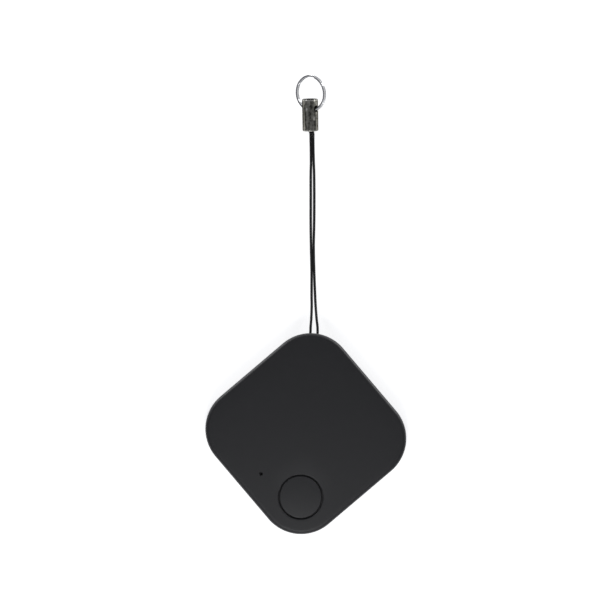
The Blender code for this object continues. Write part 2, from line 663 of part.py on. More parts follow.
def cord_route():
    """The cord's own points: down the left strand, round the post and back up the right one."""
    reach = POST_DIAMETER / 2 + CORD_DIAMETER / 2 + POST_TO_CORD
    notch_y = CASE_REACH - WALL / 2
    loop = [Vector((-STRAND_SPREAD / 2, notch_y, CORD_HEIGHT))]
    for step in range(7):
        angle = math.pi + step * math.pi / 6
        x = POST_PLACE[0] + reach * math.cos(angle)
        y = POST_PLACE[1] + reach * math.sin(angle)
        loop.append(Vector((x, y, CORD_HEIGHT)))
    loop.append(Vector((STRAND_SPREAD / 2, notch_y, CORD_HEIGHT)))
    return [tuple(point) for point in strand_points(0) + loop + strand_points(1)[::-1]]


def make_cord(swing):
    """The looped cord as a curve, its points counted from the swing pivot."""
    points = smooth_route(cord_route(), CORD_POINT_SPACING) - np.array(swing.location)
    curve = bpy.data.curves.new("strap_cord", "CURVE")
    curve.dimensions = "3D"
    spline = curve.splines.new("POLY")
    spline.points.add(len(points) - 1)
    for place, point in zip(points, spline.points):
        point.co = (*place, 1.0)
    curve.bevel_depth = CORD_DIAMETER / 2
    curve.bevel_resolution = 2
    curve.use_fill_caps = True
    curve.materials.append(finish("cord"))
    cord = bpy.data.objects.new("strap_cord", curve)
    cord.parent = swing
    bpy.context.scene.collection.objects.link(cord)


def make_barrel(swing):
    """The end barrel: a tube with a thin end wall round the cord and a cross hole for the ring."""
    place, _, _ = barrel_frame()
    frame = pivot("barrel_frame", (0.0, 0.0, 0.0), swing)
    frame.matrix_basis = Matrix.Translation(-swing.location) @ place
    inside = BARREL_RADIUS - BARREL_WALL
    mouth = BARREL_MOUTH_DIAMETER / 2
    profile = [
        (mouth, 0.0),
        (BARREL_RADIUS, 0.0),
        (BARREL_RADIUS, BARREL_LENGTH),
        (inside, BARREL_LENGTH),
        (inside, BARREL_END_WALL),
        (mouth, BARREL_END_WALL),
    ]
    barrel = placed("cord_crimp", turned(profile, 32), "gunmetal")
    barrel.parent = frame
    half = BARREL_RADIUS + CUT_EXTRA
    drill = rod(CROSS_HOLE_DIAMETER / 2, -half, half, 24)
    cross_hole = placed("cross_hole", drill, "gunmetal")
    cross_hole.parent = frame
    cross_hole.rotation_euler.y = math.pi / 2
    cross_hole.location.z = BARREL_LENGTH - CROSS_HOLE_TO_RIM
    combine(barrel, cross_hole, "DIFFERENCE")
    return frame


def make_ring(frame):
    """The split ring: a flat wire wound nearly twice, hanging by the barrel's cross hole."""
    hinge = pivot("ring_pivot", (0.0, 0.0, BARREL_LENGTH - CROSS_HOLE_TO_RIM), frame)
    hinge.rotation_euler.y = RING_LEAN
    radius = (RING_DIAMETER - RING_WIRE_DEPTH) / 2
    wall_reach = BARREL_RADIUS - BARREL_WALL / 2
    centre_height = math.sqrt(radius**2 - wall_reach**2)
    depth = RING_WIRE_DEPTH / 2
    width = RING_WIRE_WIDTH / 2
    short_depth = RING_WIRE_CORNER * depth
    short_width = RING_WIRE_CORNER * width
    section = (
        (depth, short_width),
        (short_depth, width),
        (-short_depth, width),
        (-depth, short_width),
        (-depth, -short_width),
        (-short_depth, -width),
        (short_depth, -width),
        (depth, -short_width),
    )
    steps = round(RING_TURNS * RING_STEPS_PER_TURN)
    shape = bmesh.new()
    rings = []
    for step in range(steps + 1):
        turn = (step / steps - 0.5) * RING_TURNS
        angle = 2.0 * math.pi * turn
        ring = []
        for out, side in section:
            x = (radius + out) * math.sin(angle)
            z = centre_height + (radius + out) * math.cos(angle)
            ring.append(shape.verts.new((x, side + turn * RING_PITCH, z)))
        rings.append(ring)
    for lower, upper in zip(rings, rings[1:]):
        for side in range(len(section)):
            following = (side + 1) % len(section)
            shape.faces.new((lower[side], lower[following], upper[following], upper[side]))
    shape.faces.new(rings[0])
    shape.faces.new(rings[-1])
    placed("split_ring", shape, "chrome").parent = hinge


def main():
    clear_scene()
    make_rear_shell()
    make_front_shell()
    make_button()
    make_board()
    make_chips()
    make_switch()
    make_sounder()
    make_cell_holder()
    make_cell()
    swing = pivot("strap_pivot", (0.0, CASE_REACH, CORD_HEIGHT))
    make_cord(swing)
    make_ring(make_barrel(swing))


main()
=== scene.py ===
"""Looks of a tracker tag on a looped braided cord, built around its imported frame.

Frame: origin at the centre of the case's back face, +Z out of the front face, +Y towards the
corner that the cord leaves. Lengths are in metres; MM turns millimetres into them.
"""

import logging
import math
from dataclasses import dataclass, field
from enum import Enum

import bpy
import numpy as np
from mathutils import Matrix, Vector


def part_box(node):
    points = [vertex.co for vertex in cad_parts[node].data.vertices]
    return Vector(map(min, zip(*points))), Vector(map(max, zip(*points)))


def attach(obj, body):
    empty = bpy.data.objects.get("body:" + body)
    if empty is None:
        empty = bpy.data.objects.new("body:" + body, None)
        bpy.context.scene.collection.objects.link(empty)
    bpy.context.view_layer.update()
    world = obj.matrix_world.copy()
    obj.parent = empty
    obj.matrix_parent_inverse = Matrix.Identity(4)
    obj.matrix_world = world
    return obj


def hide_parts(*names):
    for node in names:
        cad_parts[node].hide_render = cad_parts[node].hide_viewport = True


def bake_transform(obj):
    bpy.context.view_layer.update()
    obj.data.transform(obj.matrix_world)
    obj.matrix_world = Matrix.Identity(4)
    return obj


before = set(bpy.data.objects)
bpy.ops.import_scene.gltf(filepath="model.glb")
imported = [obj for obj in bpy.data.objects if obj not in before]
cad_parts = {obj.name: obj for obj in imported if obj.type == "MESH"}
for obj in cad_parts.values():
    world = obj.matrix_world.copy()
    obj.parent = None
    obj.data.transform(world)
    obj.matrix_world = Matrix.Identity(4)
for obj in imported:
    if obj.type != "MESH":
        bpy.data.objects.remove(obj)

LOG = logging.getLogger("tracker_tag")
MM = 0.001
Colour = tuple[float, float, float]
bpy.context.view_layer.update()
SHARP_DEGREES = 32.0
CORD_HEIGHT = 3.2 * MM
STRAND_SPREAD = 1.73 * MM
POST_FROM_CORNER = 4.4 * MM
FLOOR_REACH = 3.0
FLOOR_DROP = 0.00002


class Body(Enum):
    """The bodies that a piece can ride on."""

    REAR_CASE = "rear_case"
    FRONT_CASE = "front_case"
    BUTTON = "button"
    PLUNGER = "plunger"
    CELL = "cell"
    STRAP = "strap"
    RING = "ring"


class Operation(Enum):
    """How one solid acts on another."""

    CUT = "DIFFERENCE"
    JOIN = "UNION"


class Effect(Enum):
    """The surface effects that several materials share, each a shader node group."""

    GRAIN = "fine_grain"
    BLOTCH = "soft_blotch"
    BRUSHING = "brushing"
    SCUFF = "hairline_scuffs"
    DUST = "dust_specks"


# ---------------------------------------------------------------- surfaces


@dataclass
class Surface:
    """A closed surface: its points, and its faces as arrays of point numbers.

    Args:
        points: one row of x, y, z for each point.
        quads: four point numbers for each four-sided face.
        tris: three point numbers for each three-sided face.
        quad_uvs: two coordinates for each corner of each four-sided face.
    """

    points: np.ndarray
    quads: np.ndarray
    tris: np.ndarray = field(default_factory=lambda: np.zeros((0, 3), int))
    quad_uvs: np.ndarray | None = None

    def volume(self) -> float:
        """The signed volume, a sixth of the sum of a . (b x c); it is positive where faces look out."""
        halves = np.vstack((self.quads[:, [0, 1, 2]], self.quads[:, [0, 2, 3]], self.tris))
        a, b, c = (self.points[halves[:, side]] for side in range(3))
        return float((a * np.cross(b, c)).sum() / 6.0)

    def mesh(self, name: str, sharp_degrees: float = SHARP_DEGREES) -> bpy.types.Mesh:
        """Puts the surface into a mesh, faces looking out, smooth but for its sharp edges.

        Args:
            name: the mesh's name.
            sharp_degrees: the angle between two faces past which their edge is sharp.

        Returns:
            The mesh.
        """
        quads, tris, uvs = self.quads, self.tris, self.quad_uvs
        if self.volume() < 0.0:
            quads, tris = quads[:, ::-1], tris[:, ::-1]
            uvs = None if uvs is None else uvs[:, ::-1]
        mesh = bpy.data.meshes.new(name)
        mesh.from_pydata(self.points.tolist(), [], quads.tolist() + tris.tolist())
        if uvs is not None:
            layer = mesh.uv_layers.new(name="along_and_around")
            corners = np.zeros((len(mesh.loops), 2), np.float32)
            corners[: len(quads) * 4] = uvs.reshape(-1, 2)
            layer.data.foreach_set("uv", corners.ravel())
        mesh.shade_smooth()
        mesh.set_sharp_from_angle(angle=math.radians(sharp_degrees))
        return mesh


def grid(points: np.ndarray, loop_rows: bool = False, length: float | None = None) -> Surface:
    """A surface over a grid whose rows are rings: each ring joins the next, and a ring joins itself.

    Args:
        points: rows x columns x 3.
        loop_rows: the last ring joins the first. If not, both end rings get a lid.
        length: what the first coordinate of the UV map runs to, or None for no map.

    Returns:
        The closed surface.
    """
    rows, columns = points.shape[:2]
    number = np.arange(rows * columns).reshape(rows, columns)
    upper = np.roll(number, -1, axis=0) if loop_rows else number[1:]
    lower = number if loop_rows else number[:-1]
    corners = (lower, np.roll(lower, -1, axis=1), np.roll(upper, -1, axis=1), upper)
    quads = np.stack(corners, axis=-1).reshape(-1, 4)
    flat = points.reshape(-1, 3)
    tris = np.zeros((0, 3), int)
    if not loop_rows:
        first, last = len(flat), len(flat) + 1
        flat = np.vstack((flat, points[0].mean(0), points[-1].mean(0)))
        ahead = np.roll(number, -1, axis=1)
        start = np.stack((ahead[0], number[0], np.full(columns, first)), axis=1)
        end = np.stack((number[-1], ahead[-1], np.full(columns, last)), axis=1)
        tris = np.vstack((start, end))
    uvs = None
    if length is not None:
        along = np.linspace(0.0, length, rows)[:, None] * np.ones(columns)
        around = np.arange(columns)[None, :] / columns * np.ones((rows, 1))
        low, high, step = along[:-1], along[1:], 1.0 / columns
        sides = ((low, 0.0), (low, step), (high, step), (high, 0.0))
        pairs = [np.stack((u, around[:-1] + more), axis=-1) for u, more in sides]
        uvs = np.stack(pairs, axis=2).reshape(-1, 4, 2)
    return Surface(flat, quads, tris, uvs)


def rounded(corners: list[tuple[float, float, float]], steps: int = 6, closed: bool = False) -> np.ndarray:
    """A section with its corners rounded, each by the curve a(1-t)^2 + 2bt(1-t) + ct^2.

    Args:
        corners: (across, height, reach) for each corner; reach is how far the rounding starts from it.
        steps: how many pieces each rounding has.
        closed: the last corner joins the first.

    Returns:
        Rows of across and height.
    """
    place = np.array([corner[:2] for corner in corners])
    share = np.linspace(0.0, 1.0, steps + 1)[:, None]
    rows = []
    for number, (middle, corner) in enumerate(zip(place, corners)):
        inner = closed or 0 < number < len(place) - 1
        if corner[2] <= 0.0 or not inner:
            rows.append(middle[None, :])
            continue
        back, ahead = place[number - 1] - middle, place[(number + 1) % len(place)] - middle
        start = middle + back / np.linalg.norm(back) * corner[2]
        end = middle + ahead / np.linalg.norm(ahead) * corner[2]
        rows.append(start * (1 - share) ** 2 + middle * 2 * share * (1 - share) + end * share**2)
    return np.vstack(rows)


def turned(section: np.ndarray, centre: tuple[float, float], sides: int, closed: bool = False) -> Surface:
    """A solid of revolution: (cx + r cos a, cy + r sin a, h) over the section (r, h) and angle a.

    Args:
        section: rows of radius and height. An open one gets flat lids at its two ends.
        centre: where the upright axis stands.
        sides: how many steps the turn has.
        closed: the section is a loop, as for a ring or tube.

    Returns:
        The closed surface.
    """
    angle = np.linspace(0.0, 2.0 * np.pi, sides, endpoint=False)
    radius, height = section[:, :1], section[:, 1:]
    x = centre[0] + radius * np.cos(angle)
    y = centre[1] + radius * np.sin(angle)
    return grid(np.stack((x, y, height * np.ones_like(angle)), axis=-1), closed)


def block(low: tuple[float, float, float], size: tuple[float, float, float], edge: float, turn: float = 0.0) -> Surface:
    """A box with rounded upright corners: x = (a/2 - e) sign + e cos t, and so in y, over two heights.

    Args:
        low: the middle of its lower face.
        size: its length, width and height.
        edge: the rounding of its upright corners, and the bevel of its top.
        turn: how far it is turned about its upright axis.

    Returns:
        The closed surface.
    """
    corner, step = np.divmod(np.arange(24), 6)
    angle = (corner + step / 5) * np.pi / 2
    middle = (corner + 0.5) * np.pi / 2
    side = np.sign(np.stack((np.cos(middle), np.sin(middle))))
    inset = np.array([0.0, 0.0, edge * 0.35, edge])[:, None, None]
    height = np.array([0.0, size[2] - edge, size[2] - edge * 0.35, size[2]])[:, None]
    half = np.array(size[:2])[:, None] / 2
    outline = side * (half - edge) + edge * np.stack((np.cos(angle), np.sin(angle)))
    flat = (outline[None] - side[None] * inset).transpose(0, 2, 1)
    c, s = math.cos(turn), math.sin(turn)
    x = low[0] + flat[..., 0] * c - flat[..., 1] * s
    y = low[1] + flat[..., 0] * s + flat[..., 1] * c
    return grid(np.stack((x, y, low[2] + height * np.ones_like(x)), axis=-1))


def joined(surfaces: list[Surface]) -> Surface:
    """Several closed surfaces as one, each with its faces looking out.

    Args:
        surfaces: the surfaces, apart from each other.

    Returns:
        One surface that holds them all.
    """
    points, quads, tris, count = [], [], [], 0
    for surface in surfaces:
        way = 1 if surface.volume() > 0.0 else -1
        points.append(surface.points)
        quads.append(surface.quads[:, ::way] + count)
        tris.append(surface.tris[:, ::way] + count)
        count += len(surface.points)
    return Surface(np.vstack(points), np.vstack(quads), np.vstack(tris))


def pin(
    radii: tuple[float, float], heights: tuple[float, float], spot: tuple[float, float], sides: int
) -> Surface:
    """An upright pin: a solid of revolution over the two rows (radius, height).

    Args:
        radii: its radius at the foot and at the top.
        heights: the height of its foot and of its top.
        spot: where it stands.
        sides: how many steps the turn has.

    Returns:
        The closed surface.
    """
    return turned(np.column_stack((radii, heights)), spot, sides)


def band(inner: float, outer: float, low: float, high: float, foot: float, top: float) -> np.ndarray:
    """A closed section with four rounded corners.

    Args:
        inner: the least radius.
        outer: the greatest radius.
        low: the height of its underside.
        high: the height of its top.
        foot: the rounding of its two lower corners.
        top: the rounding of its two upper corners.

    Returns:
        Rows of radius and height.
    """
    corners = [(inner, low, foot), (outer, low, foot), (outer, high, top), (inner, high, top)]
    return rounded(corners, closed=True)


def wrapped(angle: np.ndarray) -> np.ndarray:
    """The angle brought between -pi and pi by whole turns."""
    return (angle + np.pi) % (2 * np.pi) - np.pi


def case_reach() -> float:
    """How far the case's corner is from its middle."""
    return float(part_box("rear_shell")[1].y)


def smooth_route(given: np.ndarray, spacing: float) -> np.ndarray:
    """Even points along a Catmull-Rom curve, the cubic through each pair of points with slope (next - last) / 2.

    Args:
        given: the points that the curve passes through.
        spacing: the most that two points of the result are apart.

    Returns:
        Rows of x, y, z.
    """
    ends = np.vstack((2 * given[0] - given[1], given, 2 * given[-1] - given[-2]))
    share = np.linspace(0.0, 1.0, 40, endpoint=False)[None, :, None]
    before, start, end, after = (ends[k : len(ends) - 3 + k, None] for k in range(4))
    slope, next_slope = (end - before) / 2, (after - start) / 2
    bend = 3 * (end - start) - 2 * slope - next_slope
    twist = 2 * (start - end) + slope + next_slope
    fine = (start + slope * share + bend * share**2 + twist * share**3).reshape(-1, 3)
    fine = np.vstack((fine, given[-1:]))
    lengths = np.append(0.0, np.cumsum(np.linalg.norm(np.diff(fine, axis=0), axis=1)))
    even = np.linspace(0.0, lengths[-1], math.ceil(lengths[-1] / spacing) + 1)
    return np.column_stack([np.interp(even, lengths, fine[:, axis]) for axis in range(3)])


def add_piece(
    name: str,
    shape: bpy.types.Mesh | Surface,
    finish: "Finish",
    body: Body | None,
    stands_for: tuple[str, ...] = (),
) -> bpy.types.Object:
    """Puts a mesh or a surface in the scene as a piece of the object.

    Args:
        name: the piece's name.
        shape: its mesh or surface, already in place.
        finish: what it is made of.
        body: the body it rides on, or None for no body.
        stands_for: the frame's nodes that it replaces.

    Returns:
        The piece.
    """
    mesh = shape.mesh(name) if isinstance(shape, Surface) else shape
    piece = bpy.data.objects.new(name, mesh)
    bpy.context.scene.collection.objects.link(piece)
    mesh.materials.clear()
    mesh.materials.append(finish.material())
    if body is not None:
        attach(piece, body.value)
    if stands_for:
        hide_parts(*stands_for)
    LOG.info("%s: %d faces, %s", name, len(mesh.polygons), finish.name)
    return piece


def carved(mesh: bpy.types.Mesh, tools: list[tuple[Surface, Operation]]) -> bpy.types.Mesh:
    """The mesh after each tool has cut it or been joined to it.

    Args:
        mesh: the solid that is worked on.
        tools: the other solids and what each does.

    Returns:
        The new mesh.
    """
    work = bpy.data.objects.new("work", mesh)
    bpy.context.scene.collection.objects.link(work)
    others = []
    for surface, operation in tools:
        other = bpy.data.objects.new("tool", surface.mesh("tool"))
        bpy.context.scene.collection.objects.link(other)
        others.append(other)
        step = work.modifiers.new("step", "BOOLEAN")
        step.solver = "EXACT"
        step.operation = operation.value
        step.object = other
    graph = bpy.context.evaluated_depsgraph_get()
    result = bpy.data.meshes.new_from_object(work.evaluated_get(graph))
    result.name = mesh.name
    for thing in [work, *others]:
        old = thing.data
        bpy.data.objects.remove(thing)
        bpy.data.meshes.remove(old)
    result.set_sharp_from_angle(angle=math.radians(SHARP_DEGREES))
    return result


# ---------------------------------------------------------------- finishes


class Wiring:
    """Adds nodes to one node tree and joins them."""

    def __init__(self, tree: bpy.types.NodeTree) -> None:
        """Keeps the tree that the nodes go into."""
        self.tree = tree

    def add(self, kind: str, inputs: dict | None = None, **settings: object) -> bpy.types.Node:
        """Adds a node.

        Args:
            kind: the node's type name.
            inputs: a value or another node's output for each input, by name or number.
            settings: the node's own properties.

        Returns:
            The node.
        """
        node = self.tree.nodes.new(kind)
        for name, value in settings.items():
            setattr(node, name, value)
        for key, value in (inputs or {}).items():
            if isinstance(value, bpy.types.NodeSocket):
                self.tree.links.new(value, node.inputs[key])
            else:
                node.inputs[key].default_value = value
        return node

    def maths(self, operation: str, *values: object) -> bpy.types.NodeSocket:
        """The output of a Math node over the given values."""
        return self.add("ShaderNodeMath", dict(enumerate(values)), operation=operation).outputs[0]

    def spread(self, value: object, low: float, high: float, to_low: float, to_high: float) -> bpy.types.NodeSocket:
        """The value carried from one range into another, and held inside it."""
        return self.add("ShaderNodeMapRange", dict(enumerate((value, low, high, to_low, to_high)))).outputs[0]

    def mix(self, share: object, first: object, second: object) -> bpy.types.NodeSocket:
        """A colour between two others.

        Args:
            share: how much of the second there is, from 0 to 1.
            first: the colour at 0.
            second: the colour at 1.

        Returns:
            The mixed colour.
        """
        node = self.add("ShaderNodeMix", data_type="RGBA")
        for socket, value in zip((node.inputs[0], node.inputs[6], node.inputs[7]), (share, first, second)):
            if isinstance(value, bpy.types.NodeSocket):
                self.tree.links.new(value, socket)
            else:
                socket.default_value = (*value, 1.0) if isinstance(value, tuple) else value
        return node.outputs[2]


class EffectBench:
    """Builds each shared effect once, as a node group with a vector, a size and its outputs."""

    @classmethod
    def group(cls, effect: Effect) -> bpy.types.NodeTree:
        """The effect's node group, made on its first use.

        Args:
            effect: which effect it is.

        Returns:
            The group, with one value out.
        """
        found = bpy.data.node_groups.get(effect.value)
        if found:
            return found
        tree = bpy.data.node_groups.new(effect.value, "ShaderNodeTree")
        tree.interface.new_socket("Vector", in_out="INPUT", socket_type="NodeSocketVector")
        tree.interface.new_socket("Fineness", in_out="INPUT", socket_type="NodeSocketFloat")
        tree.interface.new_socket("Amount", in_out="INPUT", socket_type="NodeSocketFloat")
        tree.interface.new_socket("Value", in_out="OUTPUT", socket_type="NodeSocketFloat")
        wiring = Wiring(tree)
        ports = wiring.add("NodeGroupInput").outputs
        made = getattr(cls, effect.name.lower())(wiring, ports["Vector"], ports["Fineness"], ports["Amount"])
        wiring.add("NodeGroupOutput", {"Value": made})
        return tree

    @staticmethod
    def noise(wiring: Wiring, vector: object, scale: object, detail: float = 2.0) -> bpy.types.NodeSocket:
        """A noise between 0 and 1."""
        return wiring.add("ShaderNodeTexNoise", {"Vector": vector, "Scale": scale, "Detail": detail}).outputs[0]

    @staticmethod
    def grain(wiring: Wiring, vector: object, fineness: object, amount: object) -> bpy.types.NodeSocket:
        """A moulded skin: noise with rounded pits, (noise + cell distance x amount) / 2.

        Args:
            wiring: the tree that the nodes go into.
            vector: where the pattern is read.
            fineness: how many of its features there are to a metre.
            amount: how strong it is.

        Returns:
            The effect's value.
        """
        cells = wiring.add("ShaderNodeTexVoronoi", {"Vector": vector, "Scale": fineness}).outputs["Distance"]
        rough = EffectBench.noise(wiring, vector, wiring.maths("MULTIPLY", fineness, 1.7), 3.0)
        pits = wiring.maths("MULTIPLY", cells, amount)
        return wiring.maths("MULTIPLY", wiring.maths("ADD", rough, pits), 0.5)

    @staticmethod
    def blotch(wiring: Wiring, vector: object, fineness: object, amount: object) -> bpy.types.NodeSocket:
        """Slow patches of tone, with amount times their contrast about the middle."""
        soft = EffectBench.noise(wiring, vector, fineness, 4.0)
        return wiring.maths("MULTIPLY_ADD", wiring.maths("SUBTRACT", soft, 0.5), amount, 0.5)

    @staticmethod
    def brushing(wiring: Wiring, vector: object, fineness: object, amount: object) -> bpy.types.NodeSocket:
        """Fine lines along X: a noise over a vector whose X is pressed to a twentieth.

        Args:
            wiring: the tree that the nodes go into.
            vector: where the pattern is read.
            fineness: how many of its features there are to a metre.
            amount: how strong it is.

        Returns:
            The effect's value.
        """
        long = wiring.add("ShaderNodeVectorMath", {0: vector, 1: (0.05, 1.0, 1.0)}, operation="MULTIPLY").outputs[0]
        return wiring.maths("MULTIPLY", EffectBench.noise(wiring, long, fineness, 4.0), amount)

    @staticmethod
    def scuff(wiring: Wiring, vector: object, fineness: object, amount: object) -> bpy.types.NodeSocket:
        """Hairlines: where a stretched noise is near its middle value, in patches.

        Args:
            wiring: the tree that the nodes go into.
            vector: where the pattern is read.
            fineness: how many of its features there are to a metre.
            amount: how strong it is.

        Returns:
            The effect's value.
        """
        bent = wiring.add("ShaderNodeVectorMath", {0: vector, 1: (1.0, 0.12, 1.0)}, operation="MULTIPLY").outputs[0]
        line = wiring.maths("ABSOLUTE", wiring.maths("SUBTRACT", EffectBench.noise(wiring, bent, fineness, 1.0), 0.5))
        thin = wiring.spread(line, 0.0, 0.012, 1.0, 0.0)
        slow = EffectBench.noise(wiring, vector, wiring.maths("MULTIPLY", fineness, 0.3))
        patch = wiring.spread(slow, 0.52, 0.66, 0.0, 1.0)
        return wiring.maths("MULTIPLY", wiring.maths("MULTIPLY", thin, patch), amount)

    @staticmethod
    def dust(wiring: Wiring, vector: object, fineness: object, amount: object) -> bpy.types.NodeSocket:
        """Sparse specks: near the centre of a few cells of a cell pattern.

        Args:
            wiring: the tree that the nodes go into.
            vector: where the pattern is read.
            fineness: how many of its features there are to a metre.
            amount: how strong it is.

        Returns:
            The effect's value.
        """
        cells = wiring.add("ShaderNodeTexVoronoi", {"Vector": vector, "Scale": fineness})
        speck = wiring.spread(cells.outputs["Distance"], 0.05, 0.16, 1.0, 0.0)
        tint = wiring.add("ShaderNodeSeparateColor", {0: cells.outputs["Color"]}).outputs[0]
        rare = wiring.spread(tint, 0.90, 0.96, 0.0, 1.0)
        return wiring.maths("MULTIPLY", wiring.maths("MULTIPLY", speck, rare), amount)


@dataclass(frozen=True)
class Finish:
    """What a piece is made of, as one procedural material.

    Args:
        name: the material's name.
        slot: a slot name for it; not used.
        dark: its colour in the low patches.
        light: its colour in the high patches.
        roughness: its least and most roughness.
        metallic: 1 for a bare metal.
        skin: how many grains there are to a metre.
        depth: how deep the grain is, in metres.
        specular: how strongly a plastic reflects, 0.5 for most.
        dust: how much the specks of dust show.
        scuffs: how much the hairlines show.
    """

    name: str
    slot: str
    dark: Colour
    light: Colour
    roughness: tuple[float, float]
    metallic: float = 0.0
    skin: float = 6000.0
    depth: float = 6e-6
    specular: float = 0.5
    dust: float = 0.0
    scuffs: float = 0.0

    def effect(
        self, wiring: Wiring, effect: Effect, vector: object, fineness: float, amount: float = 1.0
    ) -> bpy.types.NodeSocket:
        """The output of one shared effect, placed with its own values.

        Args:
            wiring: the material's tree.
            effect: which effect it is.
            vector: where the pattern is read.
            fineness: how many of its features there are to a metre.
            amount: how strong it is.

        Returns:
            The effect's value.
        """
        values = {"Vector": vector, "Fineness": fineness, "Amount": amount}
        return wiring.add("ShaderNodeGroup", values, node_tree=EffectBench.group(effect)).outputs["Value"]

    def coordinates(self, wiring: Wiring) -> bpy.types.NodeSocket:
        """Where the pattern is read: the object's own place."""
        return wiring.add("ShaderNodeTexCoord").outputs["Object"]

    def height(self, wiring: Wiring, vector: object) -> bpy.types.NodeSocket:
        """The relief of the surface, from 0 to 1."""
        return self.effect(wiring, Effect.GRAIN, vector, self.skin, 0.8)

    def colour(self, wiring: Wiring, vector: object, height: object) -> bpy.types.NodeSocket:
        """The colour over the surface.

        Args:
            wiring: the material's tree.
            vector: where the pattern is read.
            height: the relief, from 0 to 1.

        Returns:
            The colour between dark and light.
        """
        patches = self.effect(wiring, Effect.BLOTCH, vector, 260.0, 1.6)
        tone = wiring.maths("MULTIPLY_ADD", height, 0.5, wiring.maths("MULTIPLY", patches, 0.5))
        return wiring.mix(tone, self.dark, self.light)

    def material(self) -> bpy.types.Material:
        """The material, made on its first use.

        Returns:
            The material.
        """
        if self.name in bpy.data.materials:
            return bpy.data.materials[self.name]
        material = bpy.data.materials.new(self.name)
        material.use_nodes = True
        wiring = Wiring(material.node_tree)
        shader = material.node_tree.nodes["Principled BSDF"]
        vector = self.coordinates(wiring)
        height = self.height(wiring, vector)
        colour = self.colour(wiring, vector, height)
        rough = wiring.spread(self.effect(wiring, Effect.BLOTCH, vector, 900.0, 1.8), 0.0, 1.0, *self.roughness)
        if self.scuffs > 0.0:
            lines = self.effect(wiring, Effect.SCUFF, vector, 420.0, self.scuffs)
            rough = wiring.maths("SUBTRACT", rough, wiring.maths("MULTIPLY", lines, 0.15))
        if self.dust > 0.0:
            specks = self.effect(wiring, Effect.DUST, vector, 1500.0, self.dust)
            colour = wiring.mix(specks, colour, (0.32, 0.31, 0.29))
        bump = wiring.add("ShaderNodeBump", {"Strength": 0.8, "Distance": self.depth, "Height": height})
        wiring.tree.links.new(colour, shader.inputs["Base Color"])
        wiring.tree.links.new(rough, shader.inputs["Roughness"])
        wiring.tree.links.new(bump.outputs[0], shader.inputs["Normal"])
        shader.inputs["Metallic"].default_value = self.metallic
        shader.inputs["Specular IOR Level"].default_value = self.specular
        self.finish_shader(shader)
        return material

    def finish_shader(self, shader: bpy.types.Node) -> None:
        """Sets what is the same all over the surface; most finishes have no more to set."""


@dataclass(frozen=True)
class Brushed(Finish):
    """A metal with fine lines from rolling or drawing.

    Args:
        edge: how much of its brightness the metal keeps where it is seen edge on, in the tint of its reflection and as
            painted shade on its colour.
    """

    edge: float = 1.0

    def height(self, wiring: Wiring, vector: object) -> bpy.types.NodeSocket:
        """Lines along the sheet."""
        return self.effect(wiring, Effect.BRUSHING, vector, self.skin, 1.0)

    def shade_edges(self, wiring: Wiring, colour: object) -> bpy.types.NodeSocket:
        """The colour with painted shade, darker where the surface turns away.

        Args:
            wiring: the material's tree.
            colour: the colour seen straight on.

        Returns:
            The colour with its painted edge shade.
        """
        # painted shade: the colour goes darker towards where the surface is seen edge on
        facing = wiring.add("ShaderNodeLayerWeight", {"Blend": 0.5}).outputs["Facing"]
        share = wiring.maths("POWER", facing, 2.0)
        dark = wiring.add("ShaderNodeVectorMath", {0: colour, 1: (self.edge,) * 3}, operation="MULTIPLY").outputs[0]
        return wiring.mix(share, colour, dark)

    def colour(self, wiring: Wiring, vector: object, height: object) -> bpy.types.NodeSocket:
        """The metal's own tones, with painted shade at its edges."""
        return self.shade_edges(wiring, Finish.colour(self, wiring, vector, height))

    def finish_shader(self, shader: bpy.types.Node) -> None:
        """Tints the reflection at the edge."""
        shader.inputs["Specular Tint"].default_value = (self.edge, self.edge, self.edge, 1.0)


@dataclass(frozen=True)
class Rolled(Brushed):
    """A rolled sheet with tool marks, whose painted highlights and painted shade are stored in the mesh."""

    def coordinates(self, wiring: Wiring) -> bpy.types.NodeSocket:
        """The object's place turned a quarter, so that the rolling lines run along the barrel."""
        place = wiring.add("ShaderNodeTexCoord").outputs["Object"]
        return wiring.add("ShaderNodeMapping", {"Vector": place, "Rotation": (0.0, 0.0, math.radians(84.0))}).outputs[0]

    def colour(self, wiring: Wiring, vector: object, height: object) -> bpy.types.NodeSocket:
        """Rolling lines and pits, then the painted highlight on the rims and tool marks, part wear, then the painted
        shade along the seam and inside.

        Args:
            wiring: the material's tree.
            vector: where the pattern is read.
            height: the relief, from 0 to 1.

        Returns:
            The colour over the surface.
        """
        pits = wiring.spread(self.effect(wiring, Effect.GRAIN, vector, 1500.0, 1.0), 0.34, 0.60, 0.0, 1.0)
        lines = wiring.spread(height, 0.36, 0.62, 0.0, 1.0)
        tone = wiring.maths("MULTIPLY_ADD", lines, 0.60, wiring.maths("MULTIPLY", pits, 0.40))
        plain = wiring.mix(tone, self.dark, self.light)
        # painted highlight, part wear: lighter metal on the rims and tool marks, read from the mesh
        bright = wiring.add("ShaderNodeAttribute", attribute_name="bright").outputs["Fac"]
        # painted shade inside the barrel and along its seam, read from the mesh
        shade = wiring.add("ShaderNodeAttribute", attribute_name="shade").outputs["Fac"]
        marked = wiring.mix(bright, self.shade_edges(wiring, plain), (0.86, 0.85, 0.80))
        # the painted shade's colour is near black
        return wiring.mix(shade, marked, (0.012, 0.012, 0.011))


@dataclass(frozen=True)
class Clear(Finish):
    """A clear resin."""

    def finish_shader(self, shader: bpy.types.Node) -> None:
        """Lets light through."""
        shader.inputs["Transmission Weight"].default_value = 0.85
        shader.inputs["IOR"].default_value = 1.5


